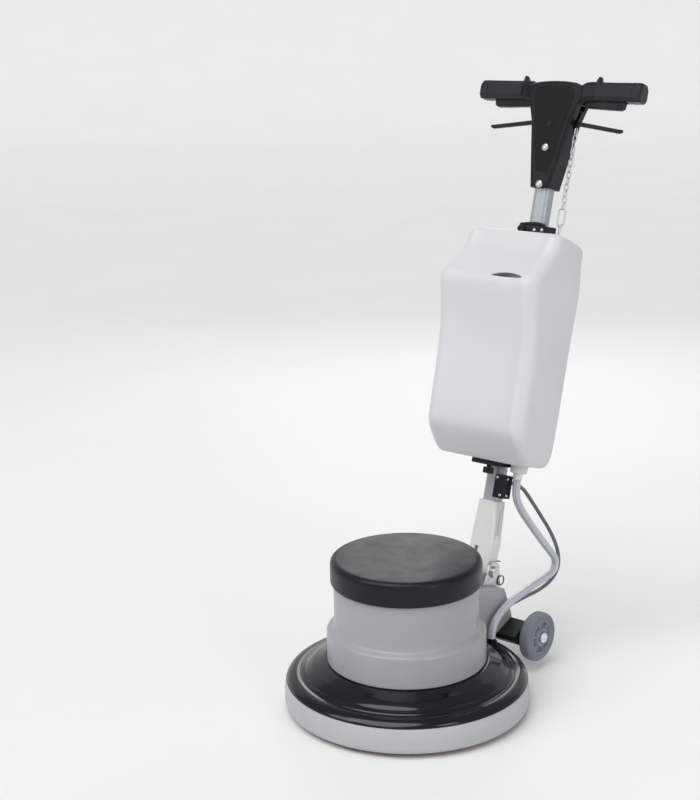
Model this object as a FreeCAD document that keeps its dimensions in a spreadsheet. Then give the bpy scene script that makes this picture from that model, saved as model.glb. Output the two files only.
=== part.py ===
import FreeCAD, Part
import Sketcher
import math
import os
from FreeCAD import Vector, Placement, Rotation

# Single-disc rotary floor machine with a 480 mm bumper, a geared pad drive,
# a tilting handle and a solution tank.
# Frame: origin on the floor at the disc axis, +Z up, +Y to the operator side.
# The handle pieces are drawn in the tube's own frame (x across, y rearward,
# z along the tube from the hinge) and placed by the handle placement.

doc = FreeCAD.newDocument("FloorMachine")

# ---------------------------------------------------------------- the sheet
SIZES = {
    # disc end
    "bumper_rad": 240.0, "bumper_low": 10.0, "bumper_top": 61.0, "bumper_bore": 223.0,
    "pad_rad": 213.0, "pad_thick": 20.0,
    "driver_rad": 210.0, "driver_thick": 12.0,
    "flange_rad": 75.0, "flange_thick": 6.0, "flange_hub": 24.0, "flange_top": 47.0,
    "deck_top": 99.0, "deck_wall": 4.0, "deck_hole": 40.0, "skirt_low": 14.0,
    "house_rad": 155.5, "house_step": 158.0, "house_upper": 140.5, "house_top": 257.0,
    "house_bore": 130.0, "stator_rad": 108.0, "stator_low": 134.0, "stator_high": 194.0,
    "stator_bore": 62.0, "rotor_rad": 61.4, "winding_high": 14.0,
    "cover_rad": 147.0, "cover_flat": 133.0, "cover_top": 306.0, "cover_wall": 4.0,
    "shaft_rad": 10.0, "shaft_top": 256.0, "bearing_rad": 22.0, "bearing_wide": 12.0,
    "output_rad": 14.0, "output_bearing": 24.0,
    # gear train
    "gear_module": 1.0, "sun_teeth": 15.0, "planet_teeth": 45.0, "ring_teeth": 105.0,
    "gear_low": 69.0, "gear_face": 14.0, "backlash": 0.2, "planet_pin": 5.0,
    "case_bore": 60.0, "case_rad": 65.0, "case_flange": 82.0, "case_low": 50.0,
    # hinge, yoke, wheels
    "hinge_back": 251.0, "hinge_high": 205.0, "handle_lean": 16.0, "pin_rad": 8.0,
    "yoke_in": 46.0, "yoke_out": 52.0, "ear_in": 24.3, "ear_out": 31.3,
    "wheel_rad": 51.0, "wheel_wide": 30.0, "wheel_in": 97.0, "axle_rad": 7.0,
    "axle_back": 291.0, "axle_high": 72.0, "tyre_bore": 36.0,
    # handle
    "tube_half": 19.0, "tube_deep": 15.0, "tube_round": 11.0, "tube_low": 60.0, "tube_high": 905.0,
    "tank_half": 118.0, "tank_wall": 4.0, "tank_low": 228.0, "tank_high": 692.0,
    "tank_front": 169.0, "tank_rear": 13.0, "groove_half": 20.5, "groove_deep": 16.5,
    "head_front": 24.0, "head_rear": 24.0, "shell_wall": 3.0,
    "grip_in": 62.0, "grip_out": 191.0, "grip_low": 971.0, "grip_high": 1010.0, "grip_half": 18.0,
    "lever_high": 927.0, "trigger_high": 975.0, "trigger_in": 54.0, "left_pivot": 10.0, "right_pivot": 30.0,
    "chain_side": 54.0, "chain_front": 6.0, "rod_side": 10.0, "rod_rad": 4.0,
    "hose_rad": 8.0, "cable_rad": 4.0,
}
sheet = doc.addObject("Spreadsheet::Sheet", "Sizes")
for row, (name, value) in enumerate(SIZES.items(), start=1):
    sheet.set("A%d" % row, name)
    sheet.set("B%d" % row, "%g" % value)
    sheet.setAlias("B%d" % row, name)
doc.recompute()


class Dim(object):
    """A size with the sheet formula that gives it."""

    def __init__(self, value, text):
        self.v = float(value)
        self.t = text

    def __add__(self, other):
        other = dim(other)
        return Dim(self.v + other.v, "(%s + %s)" % (self.t, other.t))

    def __radd__(self, other):
        return dim(other) + self

    def __sub__(self, other):
        other = dim(other)
        return Dim(self.v - other.v, "(%s - %s)" % (self.t, other.t))

    def __rsub__(self, other):
        return dim(other) - self

    def __mul__(self, other):
        other = dim(other)
        return Dim(self.v * other.v, "(%s * %s)" % (self.t, other.t))

    def __rmul__(self, other):
        return dim(other) * self

    def __truediv__(self, other):
        other = dim(other)
        return Dim(self.v / other.v, "(%s / %s)" % (self.t, other.t))

    def __neg__(self):
        return Dim(-self.v, "(0 - %s)" % self.t)


def dim(x):
    return x if isinstance(x, Dim) else Dim(x, "%.9g" % x if x >= 0 else "(0 - %.9g)" % -x)


def S(name):
    return Dim(float(sheet.get(name)), "Sizes." + name)


def bind(obj, prop, size):
    size = dim(size)
    if "." not in prop:
        setattr(obj, prop, size.v)
    obj.setExpression(prop, size.t)


PARTS = []
HANDLE = "handle"


def place(obj, where=None, base=(0, 0, 0)):
    """Put a sub-part in the machine frame, or in the handle's leaning frame."""
    bx, by, bz = [dim(b) for b in base]
    if where == HANDLE:
        lean = S("handle_lean")
        a = math.radians(lean.v)
        obj.Placement = Placement(Vector(0, S("hinge_back").v, S("hinge_high").v), Rotation(Vector(-1, 0, 0), lean.v))
        obj.setExpression("Placement.Base.y", "Sizes.hinge_back")
        obj.setExpression("Placement.Base.z", "Sizes.hinge_high")
        obj.setExpression("Placement.Rotation.Angle", "Sizes.handle_lean")
    else:
        obj.Placement = Placement(Vector(bx.v, by.v, bz.v), Rotation())
        obj.setExpression("Placement.Base.x", bx.t)
        obj.setExpression("Placement.Base.y", by.t)
        obj.setExpression("Placement.Base.z", bz.t)


def new_body(label, where=None, base=(0, 0, 0)):
    body = doc.addObject("PartDesign::Body", label)
    body.Label = label
    place(body, where, base)
    PARTS.append(body)
    return body


def origin_plane(body, role):
    for f in body.Origin.OriginFeatures:
        if f.Role == role:
            return f


def sketch_on(body, role, offset=0):
    sk = body.newObject("Sketcher::SketchObject", "Sketch")
    sk.AttachmentSupport = [(origin_plane(body, role), "")]
    sk.MapMode = "FlatFace"
    offset = dim(offset)
    if offset.t != "0":
        sk.AttachmentOffset = Placement(Vector(0, 0, offset.v), Rotation())
        sk.setExpression("AttachmentOffset.Base.z", offset.t)
    return sk


def hold(sk, kind, geo, pos, size):
    size = dim(size)
    i = sk.addConstraint(Sketcher.Constraint(kind, -1, 1, geo, pos, size.v))
    sk.setExpression("Constraints[%d]" % i, size.t)


def polygon(sk, points):
    """A closed polygon, every corner held to the sheet."""
    pts = [(dim(a), dim(b)) for a, b in points]
    first = sk.GeometryCount
    n = len(pts)
    for i in range(n):
        a, b = pts[i], pts[(i + 1) % n]
        sk.addGeometry(Part.LineSegment(Vector(a[0].v, a[1].v, 0), Vector(b[0].v, b[1].v, 0)), False)
    for i in range(n):
        sk.addConstraint(Sketcher.Constraint("Coincident", first + i, 2, first + (i + 1) % n, 1))
    for i in range(n):
        hold(sk, "DistanceX", first + i, 1, pts[i][0])
        hold(sk, "DistanceY", first + i, 1, pts[i][1])


def circle(sk, cx, cy, r):
    cx, cy, r = dim(cx), dim(cy), dim(r)
    g = sk.addGeometry(Part.Circle(Vector(cx.v, cy.v, 0), Vector(0, 0, 1), r.v), False)
    i = sk.addConstraint(Sketcher.Constraint("Radius", g, r.v))
    sk.setExpression("Constraints[%d]" % i, r.t)
    hold(sk, "DistanceX", g, 3, cx)
    hold(sk, "DistanceY", g, 3, cy)


def turn(body, points, cut=False):
    """Revolve a closed (radius, height) outline about the body's Z axis."""
    sk = sketch_on(body, "XZ_Plane")
    polygon(sk, points)
    f = body.newObject("PartDesign::Groove" if cut else "PartDesign::Revolution", "Turned")
    f.Profile = sk
    f.ReferenceAxis = (sk, ["V_Axis"])
    f.Angle = 360.0
    return f


def extrude(body, role, at, length, draw, cut=False):
    """Pad or pocket from a plane at an offset, towards the plane's positive side.

    The XZ plane's positive side is -Y, so an offset there is a distance towards -Y.
    """
    length = dim(length)
    sk = sketch_on(body, role, at)
    draw(sk)
    if cut:
        f = body.newObject("PartDesign::Pocket", "Cut")
        f.Profile = sk
        f.Reversed = True
    else:
        f = body.newObject("PartDesign::Pad", "Pad")
        f.Profile = sk
    bind(f, "Length", length)
    return f


def rect(x0, x1, y0, y1):
    return lambda sk: polygon(sk, [(x0, y0), (x1, y0), (x1, y1), (x0, y1)])


def round_edges(body, radius, pick, chamfer=False):
    doc.recompute()
    tip = body.Tip
    names = []
    for i, e in enumerate(tip.Shape.Edges, start=1):
        if pick(e):
            names.append("Edge%d" % i)
    if not names:
        raise RuntimeError("no edges to round on " + body.Label)
    f = body.newObject("PartDesign::Chamfer" if chamfer else "PartDesign::Fillet", "Rounded")
    f.Base = (tip, names)
    bind(f, "Size" if chamfer else "Radius", radius)
    return f


def mid(e):
    b = e.BoundBox
    return Vector((b.XMin + b.XMax) / 2, (b.YMin + b.YMax) / 2, (b.ZMin + b.ZMax) / 2)


def along(e, axis):
    """True for a straight edge along the axis."""
    if not isinstance(e.Curve, (Part.Line, Part.LineSegment)):
        return False
    d = e.Vertexes[-1].Point - e.Vertexes[0].Point
    return d.Length > 1e-6 and abs(abs(d.dot(axis)) - d.Length) < 1e-4 * d.Length


def polar(body, feature, count, angle=360.0, axis=None):
    doc.recompute()
    p = body.newObject("PartDesign::PolarPattern", "Around")
    p.Originals = [feature]
    z = [f for f in body.Origin.OriginFeatures if f.Role == "Z_Axis"][0]
    p.Axis = (z, [""])
    p.Angle = angle
    count = dim(count)
    p.Occurrences = int(round(count.v))
    p.setExpression("Occurrences", count.t)
    body.Tip = p
    return p


def cyl(label, r, length, base, direction, where=None):
    """A Part cylinder bound to the sheet; direction is one of x, y, z."""
    c = doc.addObject("Part::Cylinder", label)
    bind(c, "Radius", r)
    bind(c, "Height", length)
    rot = {"x": Rotation(Vector(0, 1, 0), 90), "y": Rotation(Vector(1, 0, 0), -90), "-y": Rotation(Vector(1, 0, 0), 90),
           "z": Rotation(), "-z": Rotation(Vector(1, 0, 0), 180)}[direction]
    b = [dim(v) for v in base]
    c.Placement = Placement(Vector(b[0].v, b[1].v, b[2].v), rot)
    c.setExpression("Placement.Base.x", b[0].t)
    c.setExpression("Placement.Base.y", b[1].t)
    c.setExpression("Placement.Base.z", b[2].t)
    return c


def block(label, x0, x1, y0, y1, z0, z1):
    b = doc.addObject("Part::Box", label)
    x0, x1, y0, y1, z0, z1 = [dim(v) for v in (x0, x1, y0, y1, z0, z1)]
    bind(b, "Length", x1 - x0)
    bind(b, "Width", y1 - y0)
    bind(b, "Height", z1 - z0)
    b.Placement = Placement(Vector(x0.v, y0.v, z0.v), Rotation())
    b.setExpression("Placement.Base.x", x0.t)
    b.setExpression("Placement.Base.y", y0.t)
    b.setExpression("Placement.Base.z", z0.t)
    return b


def fuse(label, shapes, where=None, keep=True):
    f = doc.addObject("Part::MultiFuse", label)
    f.Shapes = shapes
    f.Label = label
    if keep:
        place(f, where)
        PARTS.append(f)
    return f


def cut(label, base, tool, where=None, keep=True):
    f = doc.addObject("Part::Cut", label)
    f.Base = base
    f.Tool = tool
    f.Label = label
    if keep:
        place(f, where)
        PARTS.append(f)
    return f


def group(label, links, where=None):
    g = doc.addObject("Part::Compound", label)
    g.Links = links
    g.Label = label
    place(g, where)
    PARTS.append(g)
    return g


X, Y, Z = Vector(1, 0, 0), Vector(0, 1, 0), Vector(0, 0, 1)

# ------------------------------------------------------------- the disc end
R = S("bumper_rad")
b0, b1, bb = S("bumper_low"), S("bumper_top"), S("bumper_bore")
body = new_body("bumper_ring")
turn(body, [(bb, b0), (R - 7, b0), (R - 3, b0 + 2), (R - 0.8, b0 + 6), (R, b0 + 12), (R, b0 + 32), (R - 0.8, b0 + 40),
            (R - 2.6, b0 + 47), (R - 4.5, b1), (bb, b1)])

dt, dw = S("deck_top"), S("deck_wall")
body = new_body("deck_apron")
turn(body, [(R - 5, b1), (R - 5, b1 + 4), (R - 9, b1 + 8), (R - 15, b1 + 12), (R - 23, b1 + 13.5), (R - 31, b1 + 12.5),
            (R - 39, b1 + 16), (R - 50, b1 + 24), (R - 66, b1 + 32), (S("house_rad") + 4.5, dt), (S("deck_hole"), dt),
            (S("deck_hole"), dt - dw), (S("house_rad") - 5, dt - dw), (R - 81, dt - 5), (R - 68, dt - 10), (R - 53, dt - 17.5),
            (R - 41, dt - 26), (R - 32, dt - 29.5), (R - 23, dt - 28.5), (R - 21, dt - 30), (R - 21, S("skirt_low")),
            (bb, S("skirt_low")), (bb, b1)])
f = extrude(body, "XY_Plane", dt - 6, 8, lambda sk: circle(sk, 100, 0, 4.05), cut=True)
polar(body, f, 6)

hr, hs, hu, ht, hb = S("house_rad"), S("house_step"), S("house_upper"), S("house_top"), S("house_bore")
body = new_body("motor_housing")
turn(body, [(S("shaft_rad") + 0.6, dt), (hr, dt), (hr, hs), (hr - 1.2, hs + 3), (hr - 5, hs + 6), (hr - 11, hs + 9),
            (hr - 14, hs + 12.5), (hu, hs + 18), (hu, ht), (hb + 2, ht), (hb, ht - 6), (hb, 200), (S("stator_rad"), 200),
            (S("stator_rad"), 128), (hb, 126), (hb, 114), (S("bearing_rad"), 114), (S("bearing_rad"), dt + 3),
            (S("shaft_rad") + 0.6, dt + 3)])
f = extrude(body, "XY_Plane", dt - 1, 12, lambda sk: circle(sk, 100, 0, 4.05), cut=True)
polar(body, f, 6)

cr, cf, ct, cw = S("cover_rad"), S("cover_flat"), S("cover_top"), S("cover_wall")
body = new_body("motor_top_cover")
turn(body, [(0, ct), (cf + 6, ct), (cf + 10, ct - 1.4), (cf + 12.8, ct - 4.5), (cr, ct - 9), (cr, ht),
            (hb + 3, ht), (hb + 3, ht + cw), (cr - cw, ht + cw), (cr - cw, ct - 11), (cf + 7.5, ct - 6.5), (cf + 4, ct - cw), (0, ct - cw)])

body = new_body("end_bell")
turn(body, [(S("bearing_rad"), 220), (S("stator_rad") + 6, 220), (S("stator_rad") + 6, 200), (hb - 0.2, 200), (hb - 0.2, 226),
            (S("bearing_rad") + 9, 226), (S("bearing_rad") + 9, 236), (S("bearing_rad"), 236)])
f = extrude(body, "XY_Plane", 218, 10, lambda sk: circle(sk, 70, 0, 17), cut=True)
polar(body, f, 6)

body = new_body("stator_core")
turn(body, [(S("stator_bore"), S("stator_low")), (S("stator_rad"), S("stator_low")), (S("stator_rad"), S("stator_high")),
            (S("stator_bore"), S("stator_high"))])

# end turns of the winding, one ring at each end of the core
rings = []
for k, (za, name) in enumerate(((S("stator_low") - S("winding_high"), "low"), (S("stator_high"), "high"))):
    outer = cyl("winding_outer_" + name, S("stator_rad") - 6, S("winding_high"), (0, 0, za), "z")
    inner = cyl("winding_inner_" + name, S("stator_bore") + 5, S("winding_high") + 2, (0, 0, za - 1), "z")
    rings.append(cut("winding_" + name, outer, inner, keep=False))
group("stator_winding", rings)

# rolling bearings: lower and upper on the motor shaft, one under the gearbox
rings = []
for name, ro, ri, za, w in (("lower", S("bearing_rad"), S("shaft_rad") + 0.05, dt + 3, S("bearing_wide")),
                            ("upper", S("bearing_rad"), S("shaft_rad") + 0.05, dim(222), S("bearing_wide")),
                            ("output", S("output_bearing"), S("output_rad") + 0.05, S("case_low"), dim(8))):
    outer = cyl("race_outer_" + name, ro, w, (0, 0, za), "z")
    inner = cyl("race_inner_" + name, ri, w + 2, (0, 0, za - 1), "z")
    rings.append(cut("bearing_" + name, outer, inner, keep=False))
group("shaft_bearings", rings)

cb, cs, cfl, cl = S("case_bore"), S("case_rad"), S("case_flange"), S("case_low")
body = new_body("gearbox_casing")
turn(body, [(S("output_bearing"), cl), (cs - 10, cl), (cs, cl + 8), (cs, dt - dw - 5), (cfl, dt - dw - 5), (cfl, dt - dw),
            (cb, dt - dw), (cb, cl + 8), (S("output_bearing"), cl + 8)])

bolts = []
for k in range(6):
    a = math.radians(60 * k)
    px, py = 100 * math.cos(a), 100 * math.sin(a)
    head = cyl("bolt_head_%d" % k, 7, 5, (px, py, dt - dw - 5), "z")
    shank = cyl("bolt_shank_%d" % k, 3.95, dw + 9, (px, py, dt - dw - 0.5), "z")
    bolts.append(fuse("deck_bolt_%d" % k, [head, shank], keep=False))
group("housing_bolts", bolts)

# ------------------------------------------------------------ the gear train
module = S("gear_module")
PRESSURE = math.radians(20)


def inv(a):
    return math.tan(a) - a


def flank(teeth, r, slack, inside):
    """Half angle of a tooth (or of a ring gear's tooth space) at radius r."""
    pitch = teeth / 2.0
    base = pitch * math.cos(PRESSURE)
    half = math.pi / (2 * teeth) + (slack if inside else -slack) / (2 * pitch)
    if r <= base:
        return half + inv(PRESSURE)
    return half + inv(PRESSURE) - inv(math.acos(base / r))


def gap_outline(teeth, tip, root, slack):
    """Outline of one tooth gap of an outside gear, in modules, centred on the x axis."""
    rs = [tip + 0.5] + [tip - (tip - root) * k / 4.0 for k in range(5)]
    side = []
    for r in rs:
        a = math.pi / teeth - flank(teeth, r, slack, False)
        side.append((r * math.cos(a), r * math.sin(a)))
    return [(x, -y) for x, y in side] + [(x, y) for x, y in reversed(side)]


def space_outline(teeth, tip, root, slack):
    """Outline of one tooth space of a ring gear, in modules, centred on the x axis."""
    rs = [tip - 0.4] + [tip + (root - tip) * k / 4.0 for k in range(5)]
    side = []
    for r in rs:
        a = flank(teeth, r, slack, True)
        side.append((r * math.cos(a), r * math.sin(a)))
    return [(x, -y) for x, y in side] + [(x, y) for x, y in reversed(side)]


def rotated(points, angle):
    c, s = math.cos(angle), math.sin(angle)
    return [(c * x - s * y, s * x + c * y) for x, y in points]


def cut_teeth(body, outline, teeth, low, high):
    f = extrude(body, "XY_Plane", low, high, lambda sk: polygon(sk, [(module * x, module * y) for x, y in outline]), cut=True)
    polar(body, f, teeth)


gl, gf = S("gear_low"), S("gear_face")
SUN, PLANET, RING = 15, 45, 105
slack = SIZES["backlash"] / 2
sun_tip, planet_tip = SUN / 2 + 0.8, PLANET / 2 + 0.8
sun_root, planet_root = SUN / 2 - 1.05, PLANET / 2 - 1.05
ring_tip, ring_root = RING / 2 - 0.8, RING / 2 + 1.05

body = new_body("rotor_shaft")
sr = S("shaft_rad")
turn(body, [(0, gl), (module * sun_tip, gl), (module * sun_tip, gl + gf), (6.2, gl + gf + 1), (6.2, gl + gf + 4), (sr, gl + gf + 6),
            (sr, S("shaft_top")), (0, S("shaft_top"))])
cut_teeth(body, rotated(gap_outline(SUN, sun_tip, sun_root, slack), math.pi / SUN), S("sun_teeth"), gl - 0.5, gf + 1.2)

body = new_body("rotor_core")
turn(body, [(sr, S("stator_low") - 2), (S("rotor_rad") - 8, S("stator_low") - 2), (S("rotor_rad"), S("stator_low")),
            (S("rotor_rad"), S("stator_high")), (S("rotor_rad") - 8, S("stator_high") + 2), (sr, S("stator_high") + 2)])

body = new_body("cooling_fan")
turn(body, [(sr, 238), (95, 238), (95, 240.5), (18, 241), (18, 254), (sr, 254)])
f = extrude(body, "XY_Plane", 239.5, 12.5, rect(16, 92, -1.5, 1.5))
polar(body, f, 8)

body = new_body("ring_gear")
turn(body, [(module * ring_tip, gl - 1), (cb, gl - 1), (cb, gl + gf + 1), (module * ring_tip, gl + gf + 1)])
cut_teeth(body, space_outline(RING, ring_tip, ring_root, slack), S("ring_teeth"), gl - 2, gf + 4)

centre = module * (SUN + PLANET) / 2
for k in range(3):
    a = math.radians(120 * k)
    body = new_body("planet_gear_%d" % (k + 1), None, (centre * math.cos(a), centre * math.sin(a), 0))
    turn(body, [(S("planet_pin") + 0.05, gl), (module * planet_tip, gl), (module * planet_tip, gl + gf), (S("planet_pin") + 0.05, gl + gf)])
    cut_teeth(body, rotated(gap_outline(PLANET, planet_tip, planet_root, slack), math.pi / PLANET + a), S("planet_teeth"), gl - 1, gf + 2)

body = new_body("planet_carrier")
turn(body, [(0, 33), (S("output_rad") - 1, 33), (S("output_rad"), 34), (S("output_rad"), 61), (45, 61), (45, gl - 1.6), (0, gl - 1.6)])
f = extrude(body, "XY_Plane", gl - 2, gf + 3, lambda sk: circle(sk, centre, 0, S("planet_pin")))
polar(body, f, 3)

fr, ft, fh = S("flange_rad"), S("flange_thick"), S("flange_hub")
pt, dk = S("pad_thick"), S("driver_thick")
body = new_body("drive_flange")
turn(body, [(S("output_rad") + 0.02, pt + dk), (fr, pt + dk), (fr, pt + dk + ft), (fh + 6, pt + dk + ft), (fh, S("flange_top")),
            (S("output_rad") + 0.02, S("flange_top"))])

body = new_body("pad_driver")
turn(body, [(30, pt), (S("driver_rad"), pt), (S("driver_rad"), pt + dk - 3), (S("driver_rad") - 4, pt + dk), (30, pt + dk)])

body = new_body("floor_pad")
turn(body, [(0, 0), (S("pad_rad") - 3, 0), (S("pad_rad"), 3), (S("pad_rad"), pt), (0, pt)])

# ------------------------------------------------------ yoke, hinge and wheels
yi, yo = S("yoke_in"), S("yoke_out")
hy, hz = S("hinge_back"), S("hinge_high")
body = new_body("handle_yoke")
# the two cheeks, the sloping top plate and the cross wall behind the motor
cheek = [(120, 70), (216, 60), (230, 81), (262, 92), (288, 101), (284, 116), (hy + 9, hz - 33.4), (hy - 61, hz - 13.3), (120, hz + 6.8)]
extrude(body, "YZ_Plane", yi, yo - yi, lambda sk: polygon(sk, cheek))
top = [(125, hz + 5.3), (hy - 61, hz - 13.3), (hy + 9, hz - 33.4), (hy + 8, hz - 38.4), (hy - 62, hz - 18.3), (125, hz + 0.3)]
extrude(body, "YZ_Plane", -yi - 0.5, yi * 2 + 1, lambda sk: polygon(sk, top))
extrude(body, "YZ_Plane", -yo, yo - yi, lambda sk: polygon(sk, cheek))
turn(body, [(0, 20), (R, 20), (R, b1 + 4.2), (R - 9, b1 + 8.3), (R - 15, b1 + 12.3), (R - 23, b1 + 13.8), (R - 31, b1 + 13),
            (R - 39, b1 + 16.4), (R - 50, b1 + 24.4), (R - 66, b1 + 32.4), (hr + 4.5, dt + 0.3), (hr + 0.3, dt + 0.3), (hr + 0.3, hs),
            (hr - 0.9, hs + 3.2), (hr - 4.7, hs + 6.3), (hr - 10.7, hs + 9.3), (hr - 13.7, hs + 12.8), (hu + 0.3, hs + 18.2),
            (hu + 0.3, ht - 4), (R, ht - 4), (R, 320), (0, 320)], cut=True)

# polished hinge bracket: base, two ears and the tilt-brake sector
body = new_body("hinge_bracket", HANDLE)
ei, eo = S("ear_in"), S("ear_out")
ear = [(-30, -25.5), (32, -25.5), (22, 4), (16, 16), (6, 21), (-8, 21), (-18, 14), (-24, -2)]
extrude(body, "YZ_Plane", -eo, eo * 2, lambda sk: polygon(sk, [(-31, -29.3), (34, -29.3), (34, -25), (-31, -25)]))
extrude(body, "YZ_Plane", ei, eo - ei, lambda sk: polygon(sk, ear))
extrude(body, "YZ_Plane", -eo, eo - ei, lambda sk: polygon(sk, ear))
extrude(body, "YZ_Plane", -13.3, 6.6, lambda sk: circle(sk, 0, 0, 28))
extrude(body, "YZ_Plane", -14, 8, rect(-40, 40, -60, -29.3), cut=True)
extrude(body, "YZ_Plane", -40, 80, lambda sk: circle(sk, 0, 0, S("pin_rad")), cut=True)

pin = cyl("pin_shank", S("pin_rad"), eo * 2 + 3, (-eo - 3, 0, 0), "x")
pin_head = cyl("pin_head", S("pin_rad") + 3, 4, (-eo - 4.2, 0, 0), "x")
pin_nut = cyl("pin_nut", S("pin_rad") + 3.5, 6, (eo, 0, 0), "x")
fuse("hinge_pin", [pin, pin_head, pin_nut], HANDLE)

ay, az, ar = S("axle_back"), S("axle_high"), S("axle_rad")
body = new_body("wheel_bracket")
wb = [(237, 72), (237, 82.4), (262, 91.2), (287, 99.8), (301, 92), (306, 74), (300, 58), (282, 52), (258, 57)]
extrude(body, "YZ_Plane", -93, 186, lambda sk: polygon(sk, wb))
extrude(body, "YZ_Plane", -100, 200, lambda sk: circle(sk, ay, az, ar), cut=True)
round_edges(body, 3, lambda e: along(e, X) and mid(e).z < 70)

cyl_axle = cyl("wheel_axle", ar, 262, (-131, ay, az), "x")
PARTS.append(cyl_axle)
caps = []
for side, x0 in (("left", -134.0), ("right", 128.2)):
    outer = cyl("cap_outer_" + side, ar + 4, 5.8, (x0, ay, az), "x")
    inner = cyl("cap_inner_" + side, ar, 2.8, (x0 + (3 if side == "left" else 0), ay, az), "x")
    caps.append(cut("axle_cap_" + side, outer, inner, keep=False))
group("axle_caps", caps)

wr, ww, wi, tb = S("wheel_rad"), S("wheel_wide"), S("wheel_in"), S("tyre_bore")


def wheel(side, sign):
    """A wheel drawn about Z and laid along X by its placement."""
    made = []
    for name, outline in (
        ("wheel_tyre_" + side, [(tb, 2), (wr - 5, 2), (wr - 1, 5), (wr, 9), (wr, ww - 7), (wr - 2, ww - 3), (wr - 7, ww), (tb, ww)]),
        ("wheel_hub_" + side, [(ar + 0.05, 0), (16, 0), (16, 6), (tb - 4, 6), (tb, 4), (tb, ww - 1.5), (tb - 5, ww - 1.5),
                               (tb - 8, ww - 8), (20, ww - 8), (17, ww - 1), (ar + 0.05, ww - 1)])):
        b = new_body(name)
        turn(b, outline)
        b.Placement = Placement(Vector(sign * wi.v, ay.v, az.v), Rotation(Vector(0, 1, 0), 90.0 * sign))
        b.setExpression("Placement.Base.x", (wi * sign).t)
        b.setExpression("Placement.Base.y", ay.t)
        b.setExpression("Placement.Base.z", az.t)
        made.append(b)
    return made


wheel("right", 1)
wheel("left", -1)

# cable gland on the housing's rear, and the hose barb on the deck
body = new_body("cable_gland", None, (20, 0, 120))
gland = [(3.2, 150), (12, 150), (12, 162), (9, 164), (8, 176), (3.2, 176)]
sk = sketch_on(body, "XY_Plane")
polygon(sk, gland)
f = body.newObject("PartDesign::Revolution", "Turned")
f.Profile = sk
f.ReferenceAxis = (sk, ["V_Axis"])
f.Angle = 360.0
# the back of the gland follows the round housing
sk = sketch_on(body, "XY_Plane", -20)
circle(sk, -20, 0, hr + 0.05)
f = body.newObject("PartDesign::Pocket", "Seat")
f.Profile = sk
f.Reversed = True
f.Length = 40

body = new_body("hose_barb")
extrude(body, "XY_Plane", 62, 21, lambda sk: circle(sk, 66, 195, 11.5))
extrude(body, "XY_Plane", 80, 10, lambda sk: circle(sk, 66, 195, 6.5))
turn(body, [(0, 20), (R, 20), (R, b1 + 4.2), (R - 9, b1 + 8.1), (R - 15, b1 + 12.1), (R - 23, b1 + 13.6), (R - 31, b1 + 12.6),
            (R - 39, b1 + 16.1), (R - 50, b1 + 24.1), (R - 66, b1 + 32.1), (0, b1 + 32.1)], cut=True)

# ------------------------------------------------------------------ the handle
th, td = S("tube_half"), S("tube_deep")
body = new_body("handle_tube", HANDLE)
extrude(body, "XY_Plane", S("tube_low"), S("tube_high") - S("tube_low"), rect(-th, th, -td, td))
round_edges(body, S("tube_round"), lambda e: along(e, Z))
bore = [(16, -5), (16, 5), (9, 12), (-9, 12), (-16, 5), (-16, -5), (-9, -12), (9, -12)]
extrude(body, "XY_Plane", S("tube_low") - 1, S("tube_high") - S("tube_low") + 2, lambda sk: polygon(sk, bore), cut=True)
for s in (797, 872):
    extrude(body, "XZ_Plane", 6, 15, lambda sk: circle(sk, 0, s, 4.05), cut=True)
for s in (84, 118):
    extrude(body, "XZ_Plane", -20, 12, lambda sk: circle(sk, 0, s, 3.55), cut=True)

# cast socket: a flaring sleeve that ends in the hinge tongue
body = new_body("tube_socket", HANDLE)
levels = ((24, 23.9, -16, 16), (58, 27, -17.5, 17.5), (144, 21, -20, 18))
loft = None
for i in range(2):
    sks = []
    for z, hw, y0, y1 in (levels[i], levels[i + 1]):
        s = sketch_on(body, "XY_Plane", z)
        rect(-hw, hw, y0, y1)(s)
        sks.append(s)
    loft = body.newObject("PartDesign::AdditiveLoft", "Sleeve")
    loft.Profile = sks[0]
    loft.Sections = [sks[1]]
    loft.Ruled = True
tongue = [(-16, 24.5), (-16, 0)] + [(-16 * math.cos(math.radians(t)), -16 * math.sin(math.radians(t))) for t in range(15, 180, 15)] + [(16, 0), (16, 24.5)]
extrude(body, "YZ_Plane", -23.9, 47.8, lambda sk: polygon(sk, tongue))
round_edges(body, 4, lambda e: mid(e).z > 60 and mid(e).z < 143 and abs(mid(e).x) > 18 and abs(mid(e).y) > 12)
extrude(body, "XY_Plane", S("tube_low"), 90, rect(-th, th, -td, td), cut=True)
extrude(body, "YZ_Plane", -30, 60, lambda sk: circle(sk, 0, 0, S("pin_rad") + 0.05), cut=True)
extrude(body, "YZ_Plane", -14.3, 8.6, rect(-30, 30, -30, 48), cut=True)
extrude(body, "XY_Plane", 40, 25, lambda sk: circle(sk, -S("rod_side"), 0, 5), cut=True)
for s in (84, 118):
    extrude(body, "XZ_Plane", -22, 12, lambda sk: circle(sk, 0, s, 3.55), cut=True)
extrude(body, "YZ_Plane", 20, 10, rect(-3.5, 3.5, 74, 128), cut=True)


def side_bolt(name, s, y_face, r_head, h_head, r_shank, l_shank, towards):
    """A bolt along y: head outside y_face, shank inwards."""
    if towards == "rear":
        head = cyl(name + "_head", r_head, h_head, (0, y_face - h_head, s), "y")
        shank = cyl(name + "_shank", r_shank, l_shank + 0.5, (0, dim(y_face) - 0.5, s), "y")
    else:
        head = cyl(name + "_head", r_head, h_head, (0, dim(y_face), s), "y")
        shank = cyl(name + "_shank", r_shank, l_shank + 0.5, (0, dim(y_face) - l_shank, s), "y")
    return fuse(name, [head, shank], keep=False)


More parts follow.
